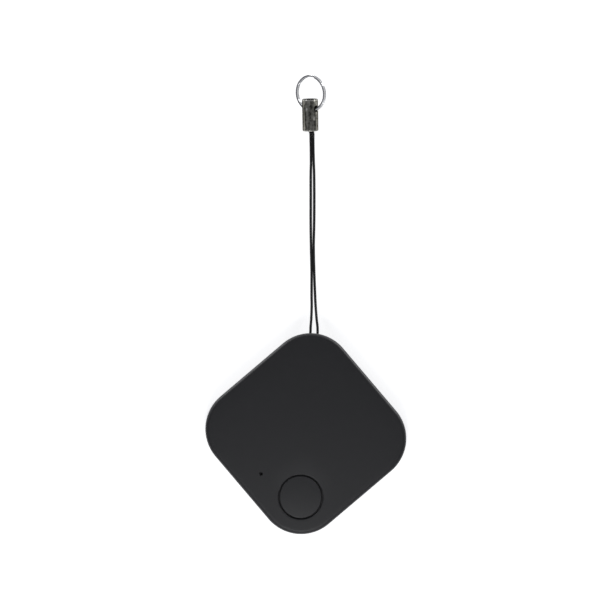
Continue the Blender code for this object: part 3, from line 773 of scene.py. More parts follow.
@dataclass(frozen=True)
class Braid(Finish):
    """A braided cord, whose plaits follow its own length and turn.

    Args:
        plaits: how many plaits cross on one turn round the cord.
        lay: how many plait crossings there are to a metre of cord.
    """

    plaits: float = 8.0
    lay: float = 1900.0

    def coordinates(self, wiring: Wiring) -> bpy.types.NodeSocket:
        """The piece's own map: length in metres, and turn."""
        return wiring.add("ShaderNodeUVMap", uv_map="along_and_around").outputs[0]

    def height(self, wiring: Wiring, vector: object) -> bpy.types.NodeSocket:
        """Yarns: |sin(p)| and |sin(q)| for the two lays, over and under each other.

        Args:
            wiring: the material's tree.
            vector: the length along the cord and the turn round it.

        Returns:
            The relief, from 0 to 1.
        """
        parts = wiring.add("ShaderNodeSeparateXYZ", {0: vector}).outputs
        along = wiring.maths("MULTIPLY", parts[0], self.lay * math.pi)
        around = wiring.maths("MULTIPLY", parts[1], self.plaits * math.pi)
        first = wiring.maths("ABSOLUTE", wiring.maths("SINE", wiring.maths("ADD", along, around)))
        second = wiring.maths("ABSOLUTE", wiring.maths("SINE", wiring.maths("SUBTRACT", along, around)))
        return wiring.maths("MAXIMUM", first, second)

    def colour(self, wiring: Wiring, vector: object, height: object) -> bpy.types.NodeSocket:
        """Painted shade: darker between the yarns."""
        # painted shade: the low places between the yarns take the dark colour
        return wiring.mix(height, self.dark, self.light)

    def finish_shader(self, shader: bpy.types.Node) -> None:
        """A little sheen from loose fibres."""
        shader.inputs["Sheen Weight"].default_value = 0.08
        shader.inputs["Sheen Roughness"].default_value = 0.5


CASE_PLASTIC = Finish(
    "moulded_case", "black_plastic", (0.0066, 0.0066, 0.0080), (0.0090, 0.0090, 0.0106),
    (0.42, 0.50), depth=4e-6, dust=0.06, scuffs=0.3,
)
BUTTON_PLASTIC = Finish(
    "moulded_button", "button_plastic", (0.0070, 0.0070, 0.0084), (0.0096, 0.0096, 0.0112),
    (0.41, 0.49), depth=4e-6, dust=0.05, scuffs=0.3,
)
# its dark colour is painted shade between the yarns
CORD_BRAID = Braid(
    "braided_cord", "cord", (0.0015, 0.0015, 0.0017), (0.0130, 0.0128, 0.0132),
    (0.66, 0.84), depth=3e-5, specular=0.25,
)
# its edge of 0.10 also paints shade on its colour where it is seen edge on
GUNMETAL = Rolled(
    "rolled_gunmetal", "gunmetal", (0.022, 0.021, 0.018), (0.40, 0.39, 0.345),
    (0.22, 0.40), 1.0, 1700.0, 1.4e-5, scuffs=1.0, edge=0.10,
)
# its edge of 0.04 also paints shade on its colour where it is seen edge on
CHROME = Brushed(
    "bright_chrome", "ring_chrome", (0.72, 0.72, 0.73), (0.92, 0.92, 0.92),
    (0.08, 0.16), 1.0, 2600.0, 1.5e-6, scuffs=1.0, edge=0.04,
)
STEEL = Brushed(
    "brushed_steel", "steel", (0.46, 0.455, 0.44), (0.64, 0.63, 0.61),
    (0.22, 0.36), 1.0, 3000.0, 2e-6, scuffs=1.0,
)
NICKEL = Brushed(
    "plated_nickel", "nickel", (0.50, 0.47, 0.40), (0.70, 0.66, 0.57),
    (0.26, 0.40), 1.0, 3600.0, 2e-6, scuffs=0.6,
)
GOLD = Brushed(
    "gold_flash", "nickel", (0.55, 0.37, 0.13), (0.80, 0.57, 0.23),
    (0.24, 0.36), 1.0, 5000.0, 2e-6,
)
TRACK = Finish(
    "masked_track", "board", (0.010, 0.085, 0.034), (0.020, 0.130, 0.052),
    (0.24, 0.36), skin=1800.0, depth=3e-6,
)
SOLDER = Finish(
    "solder", "nickel", (0.42, 0.42, 0.43), (0.66, 0.66, 0.67),
    (0.20, 0.42), 1.0, 4000.0, 8e-6,
)
RESIN = Finish(
    "filled_resin", "black_resin", (0.010, 0.010, 0.011), (0.026, 0.026, 0.027),
    (0.48, 0.66), skin=9000.0, depth=4e-6,
)
BOARD = Finish(
    "solder_mask", "board", (0.004, 0.040, 0.016), (0.010, 0.082, 0.032),
    (0.26, 0.40), skin=1800.0, depth=3e-6, dust=0.1,
)
CERAMIC = Finish(
    "ceramic", "ceramic", (0.26, 0.15, 0.075), (0.42, 0.27, 0.15),
    (0.5, 0.66), skin=9000.0, depth=3e-6,
)
WHITE_RESIN = Finish(
    "white_resin", "white_resin", (0.62, 0.60, 0.54), (0.78, 0.76, 0.70),
    (0.4, 0.55), skin=7000.0, depth=3e-6,
)
CLEAR_RESIN = Clear(
    "clear_resin", "clear_resin", (0.78, 0.80, 0.76), (0.86, 0.87, 0.82),
    (0.08, 0.18), skin=5000.0, depth=1e-6,
)
COPPER = Brushed(
    "wound_copper", "copper", (0.42, 0.15, 0.05), (0.78, 0.34, 0.13),
    (0.26, 0.42), 1.0, 9000.0, 1e-5,
)
MAGNET = Finish(
    "sintered_magnet", "magnet", (0.055, 0.055, 0.060), (0.13, 0.13, 0.14),
    (0.38, 0.56), 0.6, 6000.0, 6e-6,
)
SEAL = Finish(
    "nylon_seal", "seal", (0.15, 0.15, 0.155), (0.24, 0.24, 0.25),
    (0.5, 0.66), skin=5000.0, depth=3e-6,
)


# ---------------------------------------------------------------- studio


@dataclass
class Studio:
    """The pale floor, the soft light and the camera.

    Args:
        centre: the point of the face plane at the middle of the view.
        face: the height of the face plane.
        distance: how far the camera is above it.
        width: how much of the face plane the view is wide.
        roll: how far the camera is rolled about its own line of sight, in degrees.
        lamps: place, size and watts of each soft box; each looks at the centre.
        overhead: the strength of the sky straight above.
        horizon: the strength of the sky at the level of the floor.
        glow: the light that the floor gives of itself, as a light table does.
    """

    centre: tuple[float, float] = (-2.58 * MM, 29.08 * MM)
    face: float = 7.0 * MM
    distance: float = 4.0
    width: float = 138.4 * MM
    roll: float = 4.7
    overhead: float = 0.27
    horizon: float = 0.80
    glow: float = 0.66
    lamps: tuple = (
        ("upper_right_box", (0.50, 0.62, 0.15), 0.24, 2.2),
        ("upper_left_box", (-0.56, 0.56, 0.15), 0.24, 1.9),
        ("near_box", (0.0, -0.075, 0.13), 0.06, 0.062),
    )

    def camera(self) -> None:
        """A long lens that looks straight down, rolled as the view is."""
        data = bpy.data.cameras.new("camera")
        data.sensor_width = 36.0
        data.lens = data.sensor_width * self.distance / self.width
        data.clip_start, data.clip_end = 0.01, 20.0
        camera = bpy.data.objects.new("camera", data)
        camera.location = (*self.centre, self.face + self.distance)
        camera.rotation_euler = (0.0, 0.0, math.radians(self.roll))
        bpy.context.scene.collection.objects.link(camera)
        bpy.context.scene.camera = camera

    def light(self) -> None:
        """Soft boxes round the object, and a sky that is brightest at the horizon, with a dark flag at each side."""
        for name, place, size, watts in self.lamps:
            data = bpy.data.lights.new(name, "AREA")
            data.shape, data.size, data.energy = "SQUARE", size, watts
            lamp = bpy.data.objects.new(name, data)
            lamp.location = place
            aim = Vector((*self.centre, 0.0)) - Vector(place)
            lamp.rotation_euler = aim.to_track_quat("-Z", "Y").to_euler()
            lamp.visible_camera = False
            bpy.context.scene.collection.objects.link(lamp)
        world = bpy.data.worlds.new("sky")
        world.use_nodes = True
        wiring = Wiring(world.node_tree)
        way = wiring.add("ShaderNodeTexCoord").outputs["Generated"]
        parts = wiring.add("ShaderNodeSeparateXYZ", {0: way}).outputs
        strength = wiring.spread(parts["Z"], 0.0, 0.75, self.horizon, self.overhead)
        flags = wiring.spread(wiring.maths("ABSOLUTE", parts["X"]), 0.80, 0.94, 1.0, 0.10)
        strength = wiring.maths("MULTIPLY", strength, flags)
        background = world.node_tree.nodes["Background"]
        background.inputs["Color"].default_value = (0.92, 0.94, 1.0, 1.0)
        world.node_tree.links.new(strength, background.inputs["Strength"])
        bpy.context.scene.world = world
        bpy.context.scene.view_settings.view_transform = "Standard"

    def floor(self) -> None:
        """A plain pale floor just under the object."""
        corners = np.array(((-1, -1), (1, -1), (1, 1), (-1, 1))) * FLOOR_REACH
        points = np.column_stack((corners, np.full(4, -FLOOR_DROP)))
        mesh = bpy.data.meshes.new("floor")
        mesh.from_pydata(points.tolist(), [], [(0, 1, 2, 3)])
        material = bpy.data.materials.new("pale_floor")
        material.use_nodes = True
        shader = material.node_tree.nodes["Principled BSDF"]
        shader.inputs["Base Color"].default_value = (0.93, 0.93, 0.93, 1.0)
        shader.inputs["Roughness"].default_value = 0.9
        shader.inputs["Specular IOR Level"].default_value = 0.1
        shader.inputs["Emission Color"].default_value = (1.0, 1.0, 1.0, 1.0)
        shader.inputs["Emission Strength"].default_value = self.glow
        mesh.materials.append(material)
        floor = bpy.data.objects.new("floor", mesh)
        bpy.context.scene.collection.objects.link(floor)

    def build(self) -> None:
        """Makes the camera first, then the light and the floor."""
        self.camera()
        self.light()
        self.floor()
        LOG.info("studio: %d soft boxes", len(self.lamps))


# ---------------------------------------------------------------- strap


@dataclass
class Strap:
    """The looped cord with its end barrel.

    Args:
        cord: the cord's diameter.
        cord_height: the height that the cord has inside the case.
        spread: how far the two strands are apart where they leave the case.
        post: the diameter of the post that the cord goes round.
        rest_gap: how far the cord is from the post.
        strands: x of the left and right strand, y, and height over the table, in millimetres.
        foot: the middle of the barrel's cord end, across and along the table.
        lean: how far the barrel is turned on the table.
        pitch: how far its open end is raised.
        roll: how far its cross hole is rolled from level.
        barrel: the barrel's outside diameter.
        length: the barrel's length.
        wall: the thickness of its rolled sheet.
        end_wall: the thickness of its closed end.
        mouth: the diameter of the hole that the cord enters.
        hole: the diameter of the cross hole.
        hole_height: how far the cross hole is from the closed end.
        seam: the turn at which the rolled sheet meets itself.
        dimples: turn, height, reach and depth of each tool mark.
    """

    cord: float = 0.6 * MM
    cord_height: float = CORD_HEIGHT
    spread: float = STRAND_SPREAD
    post: float = 1.5 * MM
    rest_gap: float = 0.15 * MM
    strands: tuple = (
        (-4.55, -3.95, 68.2, 1.78),
        (-4.40, -3.81, 66.9, 1.42),
        (-4.12, -3.54, 64.1, 0.72),
        (-3.87, -3.25, 61.4, 0.36),
        (-3.71, -2.93, 58.7, 0.33),
        (-3.27, -2.45, 53.3, 0.33),
        (-2.82, -2.03, 47.8, 0.33),
        (-2.30, -1.70, 42.4, 0.33),
        (-1.73, -1.14, 37.0, 0.33),
        (-1.29, -0.49, 31.6, 0.42),
        (-1.04, -0.14, 28.9, 1.10),
        (-0.91, 0.30, 26.2, 2.25),
        (-0.90, 0.66, 24.3, 2.95),
    )
    foot: tuple[float, float] = (-4.57 * MM, 68.6 * MM)
    lean: float = math.radians(5.75)
    pitch: float = math.radians(6.4)
    roll: float = math.radians(36.0)
    barrel: float = 3.6 * MM
    length: float = 7.25 * MM
    wall: float = 0.3 * MM
    end_wall: float = 0.5 * MM
    mouth: float = 1.7 * MM
    hole: float = 1.5 * MM
    hole_height: float = 5.15 * MM
    seam: float = 0.85
    dimples: tuple = (
        (-1.44, 5.05, 0.75, 0.17),
        (-0.42, 3.05, 0.75, 0.17),
        (-0.50, 6.10, 0.80, 0.10),
        (-1.95, 1.40, 0.70, 0.05),
        (2.10, 3.60, 0.80, 0.10),
    )

    def place(self) -> tuple[np.ndarray, np.ndarray, np.ndarray, np.ndarray]:
        """The barrel's foot, and its across, along and cross-hole directions.

        Returns:
            The foot and the three directions.
        """
        across = Vector((math.cos(self.lean), math.sin(self.lean), 0.0))
        level = Vector((-math.sin(self.lean), math.cos(self.lean), 0.0))
        along = level * math.cos(self.pitch) + Vector((0.0, 0.0, math.sin(self.pitch)))
        hole = across * math.cos(self.roll) + across.cross(along) * math.sin(self.roll)
        height = self.barrel / 2 * math.cos(self.pitch) + 0.04 * MM
        return tuple(np.array(item) for item in ((*self.foot, height), across, along, hole))

    def route(self) -> np.ndarray:
        """The cord's points: down the left strand, round the post and back up the right one.

        Returns:
            Rows of x, y, z.
        """
        foot, across, along, _ = self.place()
        inside, mouth = foot + along * (self.end_wall + 1.5 * MM), foot + along * self.end_wall / 2
        table = np.array(self.strands) * MM
        apart = across * 0.5 * self.cord
        reach = self.post / 2 + self.cord / 2 + self.rest_gap + 0.1 * MM
        angle = np.pi + np.arange(7) * np.pi / 6
        post_y = case_reach() - POST_FROM_CORNER
        level = np.full(len(angle), self.cord_height)
        turn = np.column_stack((reach * np.cos(angle), post_y + reach * np.sin(angle), level))
        notch = np.array((-self.spread / 2, case_reach() - 0.6 * MM, self.cord_height))
        left = np.vstack((inside - apart, mouth - apart, table[:, [0, 2, 3]], notch))
        right = np.vstack((inside + apart, mouth + apart, table[:, [1, 2, 3]], notch * (-1, 1, 1)))
        return np.vstack((left, turn, right[::-1]))

    def build_cord(self) -> tuple[bpy.types.Object, np.ndarray]:
        """The braided cord: rings round its route, of radius r (0.94 + 0.06 max(|sin p|, |sin q|)).

        p and q run with and against the turn, so that the plaits cross.

        Returns:
            The piece, and the line that its rings stand on.
        """
        line = smooth_route(self.route(), 0.12 * MM)
        ahead = np.gradient(line, axis=0)
        ahead /= np.linalg.norm(ahead, axis=1)[:, None]
        side = np.cross(ahead, (0.0, 0.0, 1.0))
        side /= np.linalg.norm(side, axis=1)[:, None]
        up = np.cross(side, ahead)
        sides = 24
        turn = np.arange(sides) / sides
        run = np.linspace(0.0, np.linalg.norm(np.diff(line, axis=0), axis=1).sum(), len(line))[:, None]
        lay, plaits = CORD_BRAID.lay, CORD_BRAID.plaits
        p, q = np.pi * (lay * run + plaits * turn), np.pi * (lay * run - plaits * turn)
        radius = self.cord / 2 * (0.94 + 0.06 * np.maximum(np.abs(np.sin(p)), np.abs(np.sin(q))))
        round_it = 2 * np.pi * turn
        out = side[:, None] * np.cos(round_it)[:, None] + up[:, None] * np.sin(round_it)[:, None]
        surface = grid(line[:, None] + out * radius[..., None], length=float(run[-1, 0]))
        piece = add_piece("braided_cord", surface.mesh("braided_cord", 180.0), CORD_BRAID, None, ("strap_cord",))
        return piece, line

    def sunk(self, angle: np.ndarray, height: np.ndarray) -> np.ndarray:
        """How deep the barrel's seam and tool marks are, each depth x exp(-(distance / reach)^2).

        Args:
            angle: the turn from the cross hole.
            height: how far each place is from the cord end.

        Returns:
            The depth, in metres.
        """
        apart = wrapped(angle - self.seam)
        depth = 0.12 * MM * np.exp(-((apart / 0.07) ** 2)) + 0.05 * MM * np.exp(-(((apart - 0.16) / 0.14) ** 2))
        for turn, level, reach, most in self.dimples:
            aside = wrapped(angle - turn) * self.barrel / 2 / MM
            depth = depth + most * MM * np.exp(-(aside**2 + (height / MM - level) ** 2) / (reach / 2) ** 2 / 1.4)
        return depth

    def mark_barrel(self, mesh: bpy.types.Mesh) -> None:
        """Writes the lighter metal on the rims and tool marks, part wear and part painted highlight, and the painted
        shade along the seam and the inside.

        Args:
            mesh: the barrel's mesh, in place.
        """
        foot, _, along, hole = self.place()
        flat = np.empty(len(mesh.vertices) * 3, np.float32)
        mesh.vertices.foreach_get("co", flat)
        away = flat.reshape(-1, 3) - foot
        height, first, second = away @ along, away @ hole, away @ np.cross(along, hole)
        radius, angle = np.hypot(first, second), np.arctan2(second, first)
        outside = self.barrel / 2
        # painted highlight, part wear: light bands at both rims and spots on the first two tool marks
        bright = 0.55 * np.exp(-(((height - self.length + 0.10 * MM) / (0.16 * MM)) ** 2))
        bright += 0.35 * np.exp(-(((height - 0.12 * MM) / (0.16 * MM)) ** 2))
        for turn, level, _, most in self.dimples[:2]:
            aside = wrapped(angle - turn) * outside
            bright += np.exp(-(aside**2 + (height - level * MM) ** 2) / (0.22 * MM) ** 2)
        # painted shade: the whole inside, and a band along the seam
        apart = wrapped(angle - self.seam)
        inner = radius < outside - self.wall * 0.6 - self.sunk(angle, height)
        shade = np.where(inner, 1.0, 0.75 * np.exp(-((apart / 0.16) ** 2)))
        bright = np.where(inner, 0.0, np.clip(bright, 0.0, 1.0))
        for name, values in (("bright", bright), ("shade", shade)):
            layer = mesh.attributes.new(name, "FLOAT", "POINT")
            layer.data.foreach_set("value", values.astype(np.float32))

    def build_barrel(self) -> bpy.types.Object:
        """The rolled barrel: radius R less the seam and the tool marks, each a bell of turn and height.

        Returns:
            The piece.
        """
        outside, sides = self.barrel / 2, 192
        inside, mouth = outside - self.wall, self.mouth / 2
        section = rounded(
            [
                (mouth, 0.0, 0.12 * MM),
                (outside, 0.0, 0.28 * MM),
                (outside, self.length, 0.12 * MM),
                (inside, self.length, 0.10 * MM),
                (inside, self.end_wall, 0.2 * MM),
                (mouth, self.end_wall, 0.12 * MM),
            ],
            closed=True,
        )
        spacing = np.linalg.norm(np.diff(np.vstack((section, section[:1])), axis=0), axis=1)
        run = np.append(0.0, np.cumsum(spacing))
        even = np.unique(np.concatenate((run[:-1], np.arange(0.0, run[-1], 0.09 * MM))))
        loop = np.vstack((section, section[:1]))
        section = np.column_stack([np.interp(even, run, loop[:, axis]) for axis in range(2)])
        radius, height = section[:, :1], section[:, 1:]
        angle = np.linspace(0.0, 2.0 * np.pi, sides, endpoint=False)[None, :]
        sunk = self.sunk(angle, height)
        share = np.clip((radius - mouth) / (inside - mouth), 0.0, 1.0)
        radius = radius - sunk * share
        foot, _, along, hole = self.place()
        other = np.cross(along, hole)
        spot = radius[..., None] * (np.cos(angle)[..., None] * hole + np.sin(angle)[..., None] * other)
        mesh = grid(foot + spot + height[..., None] * along, loop_rows=True).mesh("rolled_barrel", 40.0)
        drill = pin((self.hole / 2, self.hole / 2), (-2.6 * MM, 2.6 * MM), (0.0, 0.0), 64)
        turn = np.column_stack((other, along, hole))
        drill.points = drill.points @ turn.T + foot + along * self.hole_height
        mesh = carved(mesh, [(drill, Operation.CUT)])
        self.mark_barrel(mesh)
        return add_piece("rolled_barrel", mesh, GUNMETAL, Body.STRAP, ("cord_crimp",))

    def build(self, ring: bpy.types.Object) -> None:
        """Makes both pieces, and bakes the cord's place into its mesh.

        Args:
            ring: the split ring that hangs on the barrel; not used.
        """
        cord, line = self.build_cord()
        barrel = self.build_barrel()
        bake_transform(cord)


@dataclass
class SplitRing:
    """The split ring: a flat wire wound nearly twice, hanging by the barrel's cross hole.

    Args:
        strap: the strap that it hangs on.
        diameter: its outside diameter.
        depth: the wire's size across the ring.
        width: the wire's size along its axis.
        pitch: how far one turn is from the next.
        turns: how many turns it has.
        lean: how far it leans from the barrel.
    """

    strap: Strap
    diameter: float = 8.3 * MM
    depth: float = 0.5 * MM
    width: float = 0.4 * MM
    pitch: float = 0.44 * MM
    turns: float = 1.92
    lean: float = math.radians(5.0)

    def build(self) -> bpy.types.Object:
        """A rounded section on a flat helix: (r sin t, side + pitch t/2pi, c + r cos t) in the hanger's frame.

        Returns:
            The piece.
        """
        radius = (self.diameter - self.depth) / 2
        wall_reach = self.strap.barrel / 2 - self.strap.wall / 2
        centre = math.sqrt(radius**2 - wall_reach**2)
        around = np.linspace(0.0, 2.0 * np.pi, 24, endpoint=False)
        out = self.depth / 2 * np.sign(np.cos(around)) * np.abs(np.cos(around)) ** 0.5
        side = self.width / 2 * np.sign(np.sin(around)) * np.abs(np.sin(around)) ** 0.5
        turn = np.linspace(-self.turns / 2, self.turns / 2, 620)[:, None]
        angle = 2.0 * np.pi * turn
        end = np.clip((self.turns / 2 - np.abs(turn)) / 0.012, 0.0, 1.0)
        small = 0.72 + 0.28 * np.sqrt(1.0 - (1.0 - end) ** 2)
        x = (radius + out * small) * np.sin(angle)
        z = centre + (radius + out * small) * np.cos(angle)
        local = np.stack((x, side * small + turn * self.pitch, z), axis=-1)
        foot, _, along, hole = self.strap.place()
        axes = Matrix(np.column_stack((hole, np.cross(along, hole), along)).tolist()).to_4x4()
        hanger = axes @ Matrix.Rotation(self.lean, 4, "Y")
        origin = foot + along * self.strap.hole_height
        points = local @ np.array(hanger.to_3x3()).T + origin
        mesh = grid(points).mesh("wound_ring", 50.0)
        return add_piece("wound_ring", mesh, CHROME, Body.RING, ("split_ring",))


# ---------------------------------------------------------------- case


@dataclass
class Case:
    """Both halves of the case: a rounded square that stands on one corner.

    Args:
        side: the length of one side of the square.
        corner: the radius of its corners.
        fillet: the rounding between the wall and a face.
        wall: the thickness of the wall.
        button: where the button stands.
        hole: the radius of the button's hole.
        pinhole: the radius of the light's hole, which stands over the light.
        height: the height of the closed case.
        parting: how high the rear half's wall is.
        gap: how far the two halves' walls are apart.
        corner_steps: how many pieces each corner of the outline has.
        edge_steps: how many pieces each straight side has.
    """

    side: float = 38.0 * MM
    corner: float = 9.7 * MM
    fillet: float = 0.9 * MM
    wall: float = 1.2 * MM
    button: tuple[float, float] = (0.0, -14.45 * MM)
    hole: float = 5.1 * MM
    pinhole: float = 0.4 * MM
    height: float = 7.0 * MM
    parting: float = 3.8 * MM
    gap: float = 0.12 * MM
    corner_steps: int = 48
    edge_steps: int = 44

    def outline(self) -> tuple[np.ndarray, np.ndarray]:
        """Where the corner centres and edges stand, and which way each point looks.

        A point of the outline moved in by d is base + (radius - d) x (cos a, sin a).

        Returns:
            The base points and the directions, anticlockwise.
        """
        reach = (self.side / 2 - self.corner) * math.sqrt(2.0)
        arc = np.linspace(-0.25, 0.25, self.corner_steps + 1)
        share = np.arange(1, self.edge_steps) / self.edge_steps
        bases, looks = [], []
        for corner in range(4):
            middle, following = corner * np.pi / 2, (corner + 1) * np.pi / 2
            here = reach * np.array((math.cos(middle), math.sin(middle)))
            there = reach * np.array((math.cos(following), math.sin(following)))
            angle = middle + arc * np.pi
            bases += [np.tile(here, (len(arc), 1)), here + (there - here) * share[:, None]]
            ways = np.column_stack((np.cos(angle), np.sin(angle)))
            looks += [ways, np.tile((math.cos(angle[-1]), math.sin(angle[-1])), (len(share), 1))]
        return np.vstack(bases), np.vstack(looks)

    def rings(self, section: np.ndarray) -> np.ndarray:
        """The outline at each (inset, height) of a section.

        Args:
            section: rows of inset and height.

        Returns:
            Rows x columns x 3.
        """
        base, look = self.outline()
        flat = base[None] + (self.corner - section[:, 0, None, None]) * look[None]
        height = section[:, 1, None, None] * np.ones((1, len(base), 1))
        return np.concatenate((flat, height), axis=-1)

    def circles(self, section: np.ndarray) -> np.ndarray:
        """Circles round the button at each (radius, height), with a point towards each outline point.

        Args:
            section: rows of radius and height.

        Returns:
            Rows x columns x 3.
        """
        base, look = self.outline()
        away = base + self.corner * look - np.array(self.button)
        away /= np.linalg.norm(away, axis=1)[:, None]
        flat = np.array(self.button) + section[:, 0, None, None] * away[None]
        height = section[:, 1, None, None] * np.ones((1, len(base), 1))
        return np.concatenate((flat, height), axis=-1)

    def build_front(self) -> bpy.types.Object:
        """The front half: one loop of rings up the wall, over the edge and face, and down the button's hole.

        Returns:
            The piece.
        """
        low, fillet, roof = self.parting + self.gap, self.fillet, self.height - 1.0 * MM
        angle = np.linspace(0.0, np.pi / 2, 13)
        edge = np.column_stack((fillet - fillet * np.cos(angle), self.height - fillet + fillet * np.sin(angle)))
        seat, lap = 4.75 * MM, 0.58 * MM
        inner = [(self.wall, roof), (self.wall, seat), (lap, seat), (lap, low)]
        foot = rounded([(lap, low, 0.0), (0.0, low, 0.10 * MM), (0.0, low + 1.0 * MM, 0.0)])[1:]
        shell = self.rings(np.vstack((inner, foot, edge)))
        rim = rounded(
            [(self.hole + 1.0 * MM, self.height, 0.0), (self.hole, self.height, 0.14 * MM), (self.hole, roof, 0.0)]
        )[1:]
        bore = self.circles(rim)
        share = np.linspace(0.0, 1.0, 7)[1:-1, None, None]
        face = shell[-1] * (1 - share) + bore[0] * share
        under = bore[-1] * (1 - share) + shell[0] * share
        mesh = grid(np.concatenate((shell, face, bore, under)), loop_rows=True).mesh("front_moulding")
        low_corner, high_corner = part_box("light_lens")
        spot = tuple(((low_corner + high_corner) / 2)[:2])
        drill = pin((self.pinhole, self.pinhole), (roof - 0.5 * MM, self.height + 0.5 * MM), spot, 48)
        mesh = carved(mesh, [(drill, Operation.CUT)])
        return add_piece("front_moulding", mesh, CASE_PLASTIC, Body.FRONT_CASE, ("front_shell",))

    def notch(self, x: float) -> Surface:
        """The slot that a strand leaves by: a half circle with straight sides, swept along Y.

        Args:
            x: where its middle is.

        Returns:
            The closed surface.
        """
        angle = np.linspace(np.pi, 2 * np.pi, 17)
        radius, level, top = 0.5 * MM, CORD_HEIGHT, 5.1 * MM
        across = np.concatenate((x + radius * np.cos(angle), (x + radius, x - radius)))
        height = np.concatenate((level + radius * np.sin(angle), (top, top)))
        reach = case_reach()
        along = np.array((reach - 2.2 * MM, reach + 0.5 * MM))[:, None] * np.ones(len(across))
        return grid(np.stack((across * np.ones_like(along), along, height * np.ones_like(along)), axis=-1))

    def build_rear(self) -> bpy.types.Object:
        """The rear half: rings over the back, the edge, the wall and the lip, with the post, rests and slots.

        Returns:
            The piece.
        """
        fillet, floor, lip, top = self.fillet, 1.0 * MM, 0.7 * MM, 4.6 * MM
        angle = np.linspace(-np.pi / 2, 0.0, 13)
        edge = np.column_stack((fillet - fillet * np.cos(angle), fillet + fillet * np.sin(angle)))
        wall = rounded([(0.0, 2.0 * MM, 0.0), (0.0, self.parting, 0.10 * MM), (lip, self.parting, 0.0)])
        inner = [(lip, top), (self.wall, top), (self.wall, floor), (5.0 * MM, floor), (9.0 * MM, floor)]
        back = [(9.0 * MM, 0.0), (5.0 * MM, 0.0)]
        mesh = grid(self.rings(np.vstack((back, edge, wall, inner)))).mesh("rear_moulding")
        reach = case_reach()
        rest = reach - self.corner
        upright = np.array([(0.75 * MM, 0.5 * MM), (0.75 * MM, 5.75 * MM), (0.62 * MM, 5.85 * MM)])
        post = turned(upright, (0.0, reach - POST_FROM_CORNER), 40)
        tools = [(post, Operation.JOIN)]
        stub = np.array([(1.0 * MM, 0.5 * MM), (1.0 * MM, 1.2 * MM), (0.95 * MM, 1.25 * MM)])
        for spot in ((rest, 0.0), (-rest, 0.0), self.button, (0.0, rest - 2.0 * MM)):
            tools.append((turned(stub, spot, 40), Operation.JOIN))
        tools += [(self.notch(side * STRAND_SPREAD / 2), Operation.CUT) for side in (-1, 1)]
        mesh = carved(mesh, tools)
        return add_piece("rear_moulding", mesh, CASE_PLASTIC, Body.REAR_CASE, ("rear_shell",))

    def build_button(self) -> bpy.types.Object:
        """The push button, turned about its own axis.

        Returns:
            The piece.
        """
        low = float(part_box("button_cap")[0].z)
        section = rounded(
            [
                (0.98 * MM, low, 0.0),
                (1.0 * MM, low + 0.05 * MM, 0.0),
                (1.0 * MM, 5.25 * MM, 0.08 * MM),
                (5.45 * MM, 5.25 * MM, 0.08 * MM),
                (5.45 * MM, 5.85 * MM, 0.08 * MM),
                (4.75 * MM, 5.85 * MM, 0.08 * MM),
                (4.75 * MM, 7.0 * MM, 0.17 * MM),
                (0.5 * MM, 7.0 * MM, 0.0),
            ]
        )
        mesh = turned(section, self.button, 160).mesh("button")
        return add_piece("push_button", mesh, BUTTON_PLASTIC, Body.BUTTON, ("button_cap",))

    def build(self) -> None:
        """Makes the two halves and the button."""
        self.build_rear()
        self.build_front()
        self.build_button()


# ---------------------------------------------------------------- inside


def ribbon(corners: np.ndarray, width: float, low: float, high: float) -> Surface:
    """A flat track: each corner p goes to p +- (m + n) / (1 + m . n) x width / 2, m and n the normals beside it.

    Args:
        corners: rows of x and y.
        width: the track's width.
        low: the height of its underside.
        high: the height of its top.

    Returns:
        The closed surface.
    """
    steps = np.diff(corners, axis=0)
    steps /= np.linalg.norm(steps, axis=1)[:, None]
    normal = np.column_stack((-steps[:, 1], steps[:, 0]))
    before, after = np.vstack((normal[:1], normal)), np.vstack((normal, normal[-1:]))
    aside = (before + after) / (1.0 + (before * after).sum(1))[:, None] * width / 2
    left, right = corners + aside, corners - aside
    edges = ((left, low), (right, low), (right, high), (left, high))
    rings = [np.column_stack((side, np.full(len(side), level))) for side, level in edges]
    return grid(np.stack(rings, axis=1))


